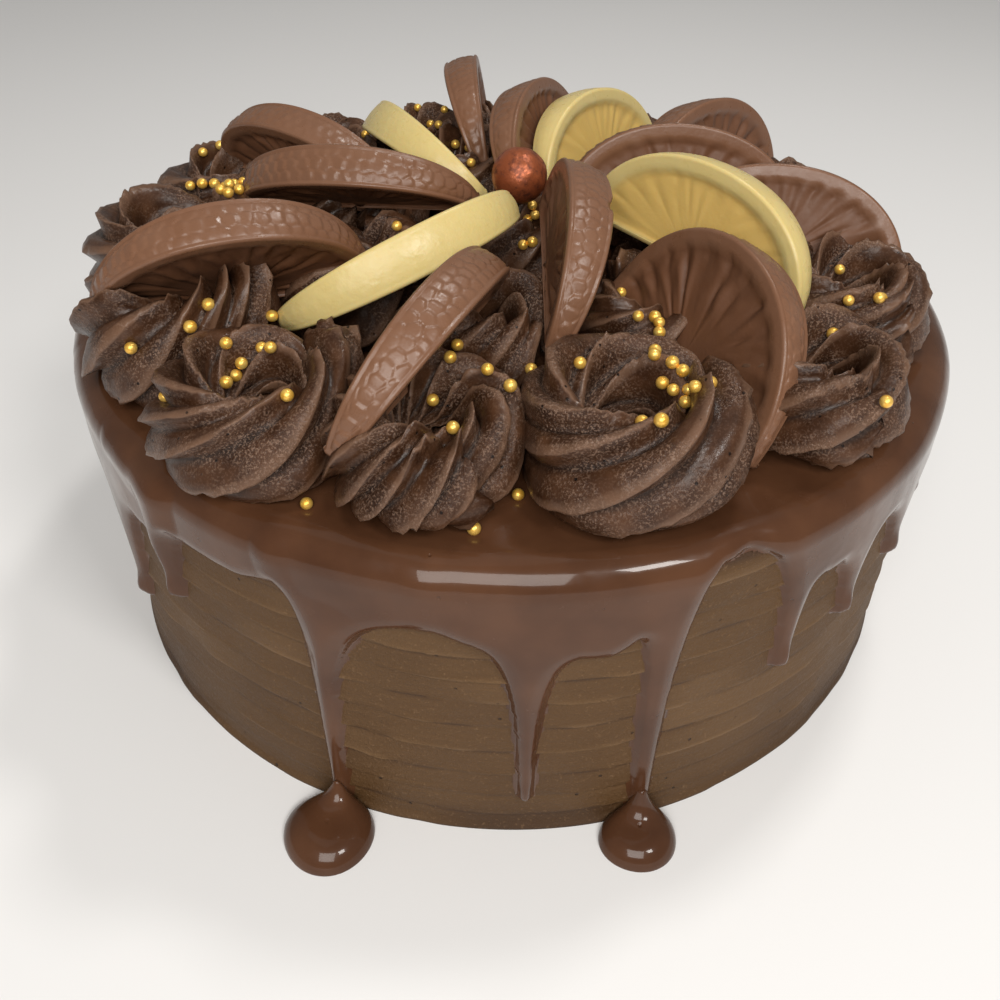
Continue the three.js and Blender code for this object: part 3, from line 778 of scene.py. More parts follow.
@dataclass
class GanacheCoat:
    """Ganache poured over the top, with its rim, hem, drips and pools.

    Attributes:
        finish: its material.
        radius: radius of the buttercream under it.
        top: height of its flat top.
        rim: radius of its rounded rim.
        side: its thickness on the side.
        swell: extra thickness away from its edge.
        edge_round: distance from its edge over which it rounds off.
        columns: points round it.
        row_step: distance between two rows of points.
        hidden: how far it goes on inside the buttercream.
        neck_flare: how fast the neck of a drip widens, in degrees.
        bead_across: half of the width of the bead at the end of a drip.
        bead_along: half of its length.
        folds_at: azimuth round which the ganache has folded, in degrees.
        fold_spread: how far the folds reach to each side, in degrees.
        fold_depth: depth of the folds.
        hem: azimuth in degrees and height in millimetres of places on the hem.
        drips: its drips.
        pools: its pools.
        fillet: height of the neck that joins a pool to its drip.
    """

    finish: bpy.types.Material
    radius: float = 106.9 * MM
    top: float = 81.5 * MM
    rim: float = 6.2 * MM
    side: float = 1.35 * MM
    swell: float = 0.55 * MM
    edge_round: float = 2.0 * MM
    columns: int = 1180
    row_step: float = 0.62 * MM
    hidden: float = 1.0 * MM
    neck_flare: float = 0.22
    bead_across: float = 2.6 * MM
    bead_along: float = 3.4 * MM
    folds_at: float = 226.0
    fold_spread: float = 34.0
    fold_depth: float = 2.6 * MM
    hem: tuple[tuple[float, float], ...] = (
        (0, 61), (20, 66), (40, 62), (60, 67), (80, 62), (100, 66), (120, 61), (140, 67), (160, 62),
        (180, 65), (200, 61), (216, 66), (224, 60), (232, 66), (241, 66), (246, 68), (263, 65), (268, 62),
        (281, 58), (288, 66), (293, 78), (296, 79.5), (300, 76), (308, 62), (320, 64), (336, 62),
    )
    drips: tuple[Drip, ...] = (
        Drip(250.6, 0.95, 0.0, 1.0, 2.9, 0.9, 0.58), Drip(273.3, 0.75, 12.0, 1.5, 1.3, 0.5, 0.35),
        Drip(287.3, 1.05, 0.0, 0.5, 1.2, 0.9, 0.45),
        Drip(304.0, 1.0, 38.0, 1.4, 0.8), Drip(314.5, 1.1, 42.0, 1.1, 1.2), Drip(326.0, 1.2, 45.0, 1.4, 1.4),
        Drip(341.0, 2.6, 42.0, 2.4, 2.4), Drip(358.0, 1.1, 30.0, 1.5, 2.4), Drip(22.0, 1.1, 46.0, 1.4, 1.4),
        Drip(46.0, 1.2, 20.0, 2.8, 1.7), Drip(72.0, 1.3, 41.0, 1.4, 2.4), Drip(98.0, 1.1, 29.0, 1.7, 2.8),
        Drip(125.0, 1.2, 47.0, 1.7, 1.4), Drip(150.0, 1.2, 17.0, 2.8, 1.7), Drip(176.0, 1.3, 43.0, 1.7, 2.4),
        Drip(199.0, 1.1, 33.0, 1.4, 1.9), Drip(217.0, 1.3, 28.0, 2.4, 1.4), Drip(229.0, 1.1, 45.0, 1.1, 0.8),
    )
    pools: tuple[Pool, ...] = (
        Pool(-37.2, -109.6, 9.6, 10.2, 5.2, 250.6),
        Pool(31.8, -108.2, 8.0, 8.8, 4.8, 287.3),
    )
    fillet: float = 7.5 * MM

    def hem_height(self, azimuth: Array) -> Array:
        """Level of the hem, drips included.

        Args:
            azimuth: azimuths in degrees.

        Returns:
            Its height at each azimuth, in metres.
        """
        places, levels = (np.array(column, dtype=float) for column in zip(*self.hem))
        places, levels = np.append(places, 360.0), np.append(levels, levels[0])
        following = np.searchsorted(places, azimuth % 360.0, side="right").clip(1, len(places) - 1)
        low, high = places[following - 1], places[following]
        share = (azimuth % 360.0 - low) / (high - low)
        climb = levels[following] - levels[following - 1]
        hem = levels[following - 1] + climb * share * share * (3 - 2 * share)
        edge = hem.copy()
        for drip in self.drips:
            beside = turn_between(drip.at, azimuth)
            flare = np.where(beside < 0, drip.left, drip.right)
            gap = np.maximum(np.abs(beside) - drip.half, 0)
            rise = 1 - drip.neck * np.exp(-gap / self.neck_flare) - (1 - drip.neck) * np.exp(-gap / flare)
            inside = np.clip(np.abs(beside) / drip.half, 0, 1)
            rounded = 1.1 * (1 - np.sqrt(1 - 0.98 * inside ** 2))
            edge = np.minimum(edge, drip.tip + rounded + (hem - drip.tip) * rise)
        return edge * MM

    @property
    def rim_path(self) -> float:
        """Length of the rim's curve, from the flat top to the straight side."""
        return self.rim * math.pi / 2

    def path_of(self, height: Array) -> Array:
        """Way down the outside from the top of the rim.

        Args:
            height: height in metres.

        Returns:
            How far down the outside that height lies.
        """
        foot = self.top - self.rim
        on_rim = self.rim * np.arccos(np.clip((height - foot) / self.rim, 0.0, 1.0))
        return np.where(height < foot, self.rim_path + foot - height, on_rim)

    def outside(self, azimuth: Array, path: Array, lift: Array) -> Array:
        """Points of the outside.

        Args:
            azimuth: azimuth in radians.
            path: way down from the top of the rim.
            lift: distance off the buttercream, which may be less than nothing.

        Returns:
            Array with X, Y, Z on its last axis.
        """
        turn = np.minimum(path, self.rim_path) / self.rim
        below = np.maximum(path - self.rim_path, 0.0)
        round_off = self.rim + lift - self.side
        reach = self.radius + self.side - self.rim + round_off * np.sin(turn)
        level = self.top - self.rim + round_off * np.cos(turn) - below
        return round_axis(azimuth, reach, level)

    def hem_tree(self) -> KDTree:
        """Gather closely spaced points along the hem, unrolled flat.

        Returns:
            Search tree of the points.
        """
        azimuth = np.arange(-4.0, 364.0, 0.02)
        along = np.radians(azimuth) * self.radius
        down = self.path_of(self.hem_height(azimuth))
        points = []
        for start in range(len(azimuth) - 1):
            steps = max(1, int(abs(down[start + 1] - down[start]) / (0.3 * MM)))
            for step in range(steps):
                share = step / steps
                points.append((along[start] + share * (along[start + 1] - along[start]),
                               down[start] + share * (down[start + 1] - down[start]), 0.0))
        tree = KDTree(len(points))
        for number, point in enumerate(points):
            tree.insert(point, number)
        tree.balance()
        return tree

    def thickness(self, inside: Array, azimuth: Array, height: Array) -> Array:
        """Thickness of the coat: rounded at the edge, fuller at the end of a drip.

        Args:
            inside: distance inside the hem, less than nothing outside it.
            azimuth: azimuth in radians.
            height: height in metres.

        Returns:
            One thickness for each point.
        """
        rounding = np.clip(inside / self.edge_round, 0.0, 1.0)
        body = self.side * np.sqrt(1 - (1 - rounding) ** 2)
        body += self.swell * ease(inside, 0.6 * MM, 4 * MM)
        degrees = np.degrees(azimuth)
        for drip in self.drips:
            beside = np.radians(turn_between(drip.at, degrees)) * self.radius
            below = height - (drip.tip + 3.2) * MM
            near = np.exp(-(beside / self.bead_across) ** 2 - (below / self.bead_along) ** 2)
            body += drip.bead * MM * near * rounding
        return np.where(inside > 0, body, np.maximum(inside, -self.hidden) * 0.8)

    def coat(self) -> tuple[Array, Array]:
        """Points of the coat, and which of its faces stay.

        Returns:
            Array of rows, columns and X, Y, Z, and one flag for each row and column.
        """
        azimuth = full_turn(self.columns)
        depth = self.rim_path + self.top - self.rim
        path = np.concatenate([[0.0], np.arange(self.row_step, depth, self.row_step), [depth]])
        across, down = np.meshgrid(azimuth, path)
        hem = self.path_of(self.hem_height(np.degrees(azimuth)))
        tree = self.hem_tree()
        distance = np.full(across.shape, 12.0 * MM)
        near = np.abs(down - hem[None, :]) < 90 * MM
        for row, column in zip(*np.nonzero(near & (down > self.rim_path * 0.3))):
            unrolled = (across[row, column] * self.radius, down[row, column], 0.0)
            distance[row, column] = tree.find(unrolled)[2]
        inside = np.where(down < hem[None, :], distance, -distance)
        height = self.top - self.rim + self.rim_path - down
        lift = self.thickness(inside, across, height)
        flat = self.outside(across, down, np.full_like(down, self.side))
        wave = self.waves(flat) + SmoothNoise(22, 9 * MM).at(flat) * 0.1 * MM
        around = turn_between(self.folds_at, np.degrees(across))
        folded = np.stack([across * self.radius, down * 0.3, np.zeros_like(down)], axis=-1)
        crumple = np.maximum(SmoothNoise(23, 10 * MM).at(folded), 0)
        folds = np.exp(-(around / self.fold_spread) ** 2) * crumple * self.fold_depth
        lift += (wave + folds * ease(down, 2 * MM, 9 * MM)) * ease(inside, 0.5 * MM, 5 * MM)
        stays = inside > -self.hidden
        corner = stays | np.roll(stays, -1, axis=1)
        keep = corner.copy()
        keep[:-1] |= corner[1:]
        return self.outside(across, down, lift), keep

    def waves(self, points: Array) -> Array:
        """Height of the broad waves that the top and the side share."""
        return SmoothNoise(21, 26 * MM).at(points) * 0.32 * MM

    def top_rings(self) -> Array:
        """Rings of the flat top, from near the middle out to the rim.

        Returns:
            Array of rings, columns and X, Y, Z.
        """
        flat = self.radius + self.side - self.rim
        rings = []
        for share in (0.08, 0.4, 0.62, 0.76, 0.84, 0.9, 0.94, 0.97):
            ring = round_axis(full_turn(self.columns), flat * share, self.top)
            ring[:, 2] += self.waves(ring)
            rings.append(ring)
        return np.array(rings)

    def pool_points(self, pool: Pool) -> Array:
        """Points of one pool, from its crown to its foot, with a fillet up to its drip.

        Args:
            pool: the pool.

        Returns:
            Array of rows, columns and X, Y, Z.
        """
        outwards = math.atan2(pool.y, pool.x)
        share = np.concatenate([np.linspace(0.04, 0.9, 20), 1 - 0.1 * np.linspace(0.9, 0.0, 12) ** 2])
        turn, out = np.meshgrid(full_turn(120), share)
        wobble = 1 + 0.02 * np.sin(3 * turn + pool.x)
        local_x = pool.outwards * MM * out * np.cos(turn) * wobble
        local_y = pool.across * MM * out * np.sin(turn) * wobble
        x = pool.x * MM + local_x * math.cos(outwards) - local_y * math.sin(outwards)
        y = pool.y * MM + local_x * math.sin(outwards) + local_y * math.cos(outwards)
        level = pool.height * MM * (1 - out ** 3.4) ** 0.62
        foot = polar(pool.drip, self.radius + 0.6 * MM, 0.0)
        beside = np.hypot(x - foot.x, y - foot.y)
        fillet = self.fillet * np.exp(-np.maximum(beside - 1.2 * MM, 0) / (1.7 * MM)) * (1 - out ** 6)
        return np.stack([x, y, level + fillet], axis=-1)

    def build(self) -> bpy.types.Object:
        """Make the piece that stands for the ganache and its pools.

        Returns:
            The piece.
        """
        draft = MeshDraft()
        points, keep = self.coat()
        rings = self.top_rings()
        whole = np.concatenate([rings, points])
        flags = np.concatenate([np.ones((len(rings), self.columns), dtype=bool), keep])
        first = draft.add_grid(whole, keep=flags)
        draft.add_cap(np.arange(first, first + self.columns), Vector((0, 0, self.top)), False)
        for pool in self.pools:
            grid = self.pool_points(pool)
            crown = Vector((pool.x * MM, pool.y * MM, pool.height * MM))
            draft.add_closed_grid(grid, crown, Vector((pool.x * MM, pool.y * MM, 0.0)))
        piece = draft.build("poured_ganache")
        stand_for(piece, self.finish, Slot.GANACHE, "ganache", "pool_1", "pool_2")
        return piece


# ------------------------------------------------------------------ rosettes


@dataclass(frozen=True)
class Rosette:
    """One piped rosette: a star-shaped rope laid round its eye.

    Attributes:
        node: the solid that it stands for.
        eye: place of its middle in metres, at the height of the surface under it.
        radius: its outer radius.
        height: its height.
        tail: azimuth in radians at which the rope is pulled off.
        turns: how many times the rope goes round.
        ridges: number of ridges on the rope.
        twist: turns of the ridges round the rope for each turn of the rope.
        bunch: how much closer the ridges lie inside the rosette than outside.
        lift: how far the torn end of the rope is lifted.
        groove: depth of the grooves as a share of the rope's radius.
        steps: rows of points along the rope.
        samples: points across one ridge.
        seed: picks its unevenness.
        undercut: share of the way from one crest to the next at which the groove lies.
        gaps: least and greatest share of an even gap between two ridges.
        depths: least and greatest share of the groove's usual depth.
        thickness: half of the rope's width as a share of the rosette's radius.
        twist_delay: how much of the twist waits for the outer turn.
        bunch_from: way round the rope from which the ridges bunch, in radians.
        crest_width: half of a crest's width, as a share of the gap.
        raggedness: unevenness of a crest, as a share of the rope's radius.
        crest_height: height of a crest as a share of the rope's radius.
        above: share of the height that lies over the rope's middle.
        below: share of the height that lies under it.
        middle: height of the rope's middle as a share of its height.
        eye_reach: distance from the eye at which the rope starts.
        tear: how unevenly the ridges end, in radians.
        press_from: share of the way to a neighbour from which the rope is pressed.
        press_range: share of the way that is left for the pressed rope.
        sunk: how far the rope may sink into what it stands on.
    """

    node: str
    eye: Vector
    radius: float
    height: float
    tail: float
    turns: float
    ridges: int
    twist: float
    bunch: float
    lift: float
    groove: float
    steps: int
    samples: int
    seed: int
    undercut: float = 0.86
    gaps: tuple[float, float] = (0.65, 1.35)
    depths: tuple[float, float] = (0.8, 1.15)
    thickness: float = 0.33
    twist_delay: float = 2.2
    bunch_from: float = 0.6
    crest_width: float = 0.12
    raggedness: float = 0.026
    crest_height: float = 1.05
    above: float = 0.62
    below: float = 0.40
    middle: float = 0.38
    eye_reach: float = 1.2 * MM
    tear: float = 0.16
    press_from: float = 0.72
    press_range: float = 0.33
    sunk: float = 0.4 * MM

    @property
    def thick(self) -> float:
        """Half of the rope's full width."""
        return self.thickness * self.radius

    def swell(self, along: Array) -> Array:
        """Share of its full thickness that the rope has at each share of its length."""
        return 0.30 + 0.70 * ease(along, 0.26, 0.56) - 0.2 * ease(along, 0.95, 1.0)

    def rise(self, along: Array) -> Array:
        """Share of its full height that the rope has at each share of its length."""
        return 0.22 + 0.78 * ease(along, 0.20, 0.52) - 0.1 * ease(along, 0.95, 1.0)

    def star(self, share: Array) -> Array:
        """Depth of the rope's star section.

        Args:
            share: share of the way from one crest to the next.

        Returns:
            Depth from 0 on a crest to 1 in a groove.
        """
        face = (share / self.undercut) ** 1.9
        wall = (1 - share) / (1 - self.undercut)
        return np.where(share < self.undercut, face, wall ** 0.8)

    def star_points(self, rng: np.random.Generator) -> tuple[Array, Array, Array, Array]:
        """Lay out the points round the rope's section, with uneven gaps between the ridges.

        Args:
            rng: source of the gaps and depths.

        Returns:
            For each point its ridge, its share of the way to the next ridge, its angle in radians
            and the depth of its groove.
        """
        even = np.arange(self.samples) / self.samples
        share = np.tile(even - 0.7 * np.sin(2 * np.pi * even) / (2 * np.pi), self.ridges)
        ridge = np.repeat(np.arange(self.ridges), self.samples)
        starts = np.cumsum(np.concatenate([[0.0], rng.uniform(*self.gaps, self.ridges)]))
        starts *= 2 * np.pi / starts[-1]
        wide = starts[ridge + 1] - starts[ridge]
        deep = self.groove * (0.45 + 0.55 * wide * self.ridges / (2 * np.pi))
        deep = deep * rng.uniform(*self.depths, self.ridges)[ridge]
        return ridge, share, starts[ridge] + share * wide, deep

    def crests(self, along: Array, share: Array, nearest: Array, rng: np.random.Generator) -> Array:
        """Unevenness of the crests along the rope.

        Args:
            along: share of the rope's length of each row.
            share: share of the way between two ridges of each point round the rope.
            nearest: nearest ridge of each point round the rope.
            rng: source of the raggedness.

        Returns:
            Array of rows and points round the rope.
        """
        crest = np.exp(-(np.minimum(share, 1 - share) / self.crest_width) ** 2)
        ragged = rng.normal(0.0, 1.0, (self.steps, self.ridges))[:, nearest]
        loose = self.raggedness * (1 + 3 * ease(along, 0.9, 1.0))[:, None]
        place = np.broadcast_arrays(along[:, None] * self.turns, nearest[None, :] * 1.0, 0.0)
        slow = SmoothNoise(self.seed + 3, 0.14).at(np.stack(place, axis=-1))
        return crest[None, :] * (loose * ragged + 0.10 * slow)

    def rope(self) -> tuple[Array, Array]:
        """Points of the rope in metres round its eye.

        Returns:
            Array of rows along the rope, points round it and X, Y, Z, and how near each column
            is to a crest.
        """
        rng = np.random.default_rng(self.seed)
        along = np.linspace(0.0, 1.0, self.steps) ** 0.8
        ridge, share, spread, deep = self.star_points(rng)
        delayed = along[:, None] ** self.twist_delay - 1
        turned = spread[None, :] + 2 * np.pi * self.twist * self.turns * delayed
        facing = turned - self.bunch_from
        turned = turned + self.bunch * (0.85 * np.sin(facing) + 0.2 * np.sin(2 * facing))
        nearest = (ridge + (share > 0.5)) % self.ridges
        section = self.crest_height - deep[None, :] * self.star(share)[None, :]
        section = section + self.crests(along, share, nearest, rng)
        swell = self.swell(along)[:, None]
        out = np.cos(turned) * section * self.thick * swell
        rise = np.sin(turned)
        inner = np.maximum(-np.cos(turned), 0)
        rise = np.where(rise > 0, np.abs(rise) ** (1 + 1.5 * inner), rise)
        out = out * np.where(out > 0, 1 + 0.3 * np.maximum(-rise, 0), 1.0)
        tall = self.height * self.rise(along)[:, None]
        up = rise * section * np.where(rise > 0, self.above, self.below) * tall / self.crest_height
        middle = self.middle * tall
        last = self.radius - 1.14 * self.thick
        reach = (self.eye_reach + (last - self.eye_reach) * (1 - (1 - along) ** 1.7))[:, None]
        torn_end = rng.uniform(-1.0, 1.0, self.ridges)[nearest] * self.tear
        angle = self.tail + 2 * np.pi * self.turns * (along - 1)
        angle = angle[:, None] + torn_end[None, :] * ease(along, 0.93, 1.0)[:, None]
        lift = self.lift * ease(along, 0.8, 1.0)[:, None]
        return round_axis(angle, reach + out, middle + up + lift), 1 - self.star(share)

    def lie(self, points: Array, neighbours: list[tuple[Vector, float]]) -> Array:
        """Lay the rope in its place, pressed against its neighbours.

        Args:
            points: points of the rope round its eye.
            neighbours: eye of each other rosette and how much room is kept to it.

        Returns:
            The points in the model's frame.
        """
        flat = points[..., :2]
        distance = np.linalg.norm(flat, axis=-1)
        angle = np.arctan2(flat[..., 1], flat[..., 0])
        reach = np.full(distance.shape, 1.15 * self.radius)
        for eye, room in neighbours:
            between = eye - self.eye
            facing = np.cos(angle - math.atan2(between.y, between.x))
            limit = room / np.maximum(facing, 1e-3)
            reach = np.where(facing > 0, np.minimum(reach, limit), reach)
        share = distance / reach
        squeezed = self.press_range * np.tanh((share - self.press_from) / self.press_range)
        pressed = np.where(share > self.press_from, self.press_from + squeezed, share)
        scale = np.where(distance > 0, pressed / np.maximum(share, 1e-6), 1.0)
        points = points * np.stack([scale, scale, np.ones_like(scale)], axis=-1)
        grain = SmoothNoise(self.seed, 1.3 * MM).at(points) * 0.07 * MM
        swell = SmoothNoise(self.seed + 1, 9 * MM).at(points) * 0.35 * MM
        axis = points.mean(axis=1, keepdims=True)
        away = points - axis
        away /= np.maximum(np.linalg.norm(away, axis=-1, keepdims=True), 1e-9)
        points = points + away * (grain + swell)[..., None]
        points[..., 2] = np.maximum(points[..., 2], -self.sunk)
        return points + np.array(self.eye[:])


@dataclass(frozen=True)
class RosettePlan:
    """Where a rosette of the outer ring stands and how it was piped.

    Attributes:
        azimuth: azimuth of its eye, in degrees.
        distance: distance of its eye from the cake's axis, in millimetres.
        radius: its outer radius, in millimetres.
        height: its height, in millimetres.
        tail: azimuth round its eye at which the rope is pulled off, in degrees.
        ridges: number of ridges on the rope.
        twist: turns of the ridges for each turn of the rope.
        lift: how far the torn end of the rope is lifted, in millimetres.
    """

    azimuth: float
    distance: float
    radius: float
    height: float
    tail: float
    ridges: int
    twist: float
    lift: float = 1.6


@dataclass
class RosetteCrown:
    """Two rings of rosettes on the ganache, and one in the middle.

    Attributes:
        finish: their material.
        floor: height at which they stand.
        inner_heights: heights of the inner rosettes and of the middle one, in millimetres.
        inner_tails: azimuths at which their ropes are pulled off, in degrees.
        outer_ring: plans of the outer rosettes.
        inner_count: number of rosettes in the inner ring.
        inner_first: azimuth of the first of them, in degrees.
        inner_distance: distance of their eyes from the axis, in millimetres.
        inner_radius: their radius, in millimetres.
        middle: place of the middle rosette's eye, in millimetres.
        neighbourhood: distance up to which two rosettes press each other.
        overlap: how much further than half-way a rosette may reach to its neighbour.
    """

    finish: bpy.types.Material
    floor: float = 81.7 * MM
    inner_heights: tuple[float, ...] = (21, 21, 17, 17, 16.5, 19, 20, 19)
    inner_tails: tuple[float, ...] = (80, 320, 120, 200, 30, 150, 270, 10)
    outer_ring: tuple[RosettePlan, ...] = (
        RosettePlan(286.5, 79, 27, 23, 16, 11, 0.36, 4), RosettePlan(260, 81, 23.5, 20, 300, 10, 0.9),
        RosettePlan(235.5, 87, 24.5, 20.5, 42, 12, 0.42, 3.5),
        RosettePlan(212, 85, 24, 24.5, 30, 10, 0.65, 4),
        RosettePlan(187, 84, 25, 21.5, 60, 12, 0.25), RosettePlan(163, 80, 24, 20, 20, 11, 0.3),
        RosettePlan(139, 75, 22, 19, 350, 10, 0.8), RosettePlan(115, 72, 20, 17.5, 300, 9, 0.8),
        RosettePlan(91, 71, 20, 17.5, 200, 10, 0.8), RosettePlan(67, 70, 20, 17.5, 170, 9, 0.8),
        RosettePlan(44, 71, 20, 17, 140, 10, 0.8), RosettePlan(22, 72, 20, 17.5, 100, 9, 0.8),
        RosettePlan(2, 74, 21, 18.5, 80, 10, 0.8), RosettePlan(342, 82, 23, 21, 300, 11, 0.4),
        RosettePlan(318, 88, 21.5, 20.5, 290, 11, 0.4),
    )
    inner_count: int = 7
    inner_first: float = 211.0
    inner_distance: float = 44.0
    inner_radius: float = 22.0
    middle: tuple[float, float] = (0.0, 5.0)
    neighbourhood: float = 60 * MM
    overlap: float = 1.04

    def rosettes(self) -> list[Rosette]:
        """Lay out all the rosettes, each with its own tail, turns and ridges.

        Returns:
            The rosettes of the outer ring, then the inner ones, then the middle one.
        """
        rng = np.random.default_rng(5)
        made = []
        for number, plan in enumerate(self.outer_ring, start=1):
            made.append(Rosette(
                node=f"rosette_{number}", eye=polar(plan.azimuth, plan.distance * MM, self.floor),
                radius=plan.radius * MM, height=plan.height * MM, tail=math.radians(plan.tail),
                turns=rng.uniform(1.7, 1.85), ridges=plan.ridges, twist=plan.twist, bunch=0.68,
                lift=plan.lift * MM, groove=0.46, steps=140, samples=7, seed=100 + number))
        for number in range(self.inner_count):
            azimuth = self.inner_first + 360.0 * number / self.inner_count
            eye = polar(azimuth, self.inner_distance * MM, self.floor)
            made.append(self._inner(f"inner_rosette_{number + 1}", eye, number, rng))
        eye = Vector((self.middle[0] * MM, self.middle[1] * MM, self.floor))
        made.append(self._inner("middle_rosette", eye, self.inner_count, rng))
        return made

    def _inner(self, node: str, eye: Vector, number: int, rng: np.random.Generator) -> Rosette:
        """Lay out one of the lower rosettes inside the crown.

        Args:
            node: the solid that it stands for.
            eye: place of its middle.
            number: its place among the inner heights and tails.
            rng: source of its number of turns.

        Returns:
            The rosette.
        """
        return Rosette(
            node=node, eye=eye, radius=self.inner_radius * MM, height=self.inner_heights[number] * MM,
            tail=math.radians(self.inner_tails[number]), turns=rng.uniform(1.5, 1.8), ridges=9,
            twist=0.7, bunch=0.6, lift=1.5 * MM, groove=0.42, steps=86, samples=6, seed=200 + number)

    def build(self) -> list[bpy.types.Object]:
        """Make one piece for each rosette.

        Returns:
            The pieces.
        """
        rosettes = self.rosettes()
        pieces = []
        for rosette in rosettes:
            near = []
            for other in rosettes:
                between = (other.eye - rosette.eye).length
                if other is not rosette and between < self.neighbourhood:
                    near.append((other.eye, between / 2 * self.overlap))
            draft = MeshDraft()
            rope, crest = rosette.rope()
            points = rosette.lie(rope, near)
            first, last = (Vector(points[end].mean(axis=0)) for end in (0, -1))
            draft.add_closed_grid(points, first, last)
            piece = draft.build("piped_" + rosette.node)
            # The cream's finish paints shade into the grooves and a highlight onto the crests from these
            # numbers.
            paint_closed_grid(piece, "crest", np.tile(crest, rosette.steps))
            stand_for(piece, self.finish, Slot.ROSETTE, rosette.node)
            pieces.append(piece)
        return pieces


# ------------------------------------------------------------------ segments


class Chocolate(Enum):
    """What a segment is moulded from."""

    MILK = "milk"
    WHITE = "white"


@dataclass(frozen=True)
class SegmentPose:
    """Where a segment stands.

    Attributes:
        at: middle of its straight edge, in millimetres.
        heading: direction of that edge on the plan, in degrees.
        dip: how far the edge points down, in degrees.
        lean: how far the segment leans sideways, in degrees.
        root: how far its straight edge lies below the place that the pose names, in millimetres.
        near: whether it is made with the finer grid, as its peel is seen close.
        chipped: whether its peel edge has a chip.
    """

    at: Place
    heading: float
    dip: float
    lean: float
    root: float = 0.0
    near: bool = False
    chipped: bool = False

    def placement(self) -> Matrix:
        """Turn the segment and move it to its place.

        Returns:
            Matrix from the segment's own frame to the model's.
        """
        place = Matrix.Translation(Vector(self.at) * MM)
        turned = Matrix.Rotation(math.radians(self.heading), 4, "Z")
        dipped = Matrix.Rotation(math.radians(self.dip), 4, "Y")
        leant = Matrix.Rotation(-math.radians(self.lean), 4, "X")
        return place @ turned @ dipped @ leant


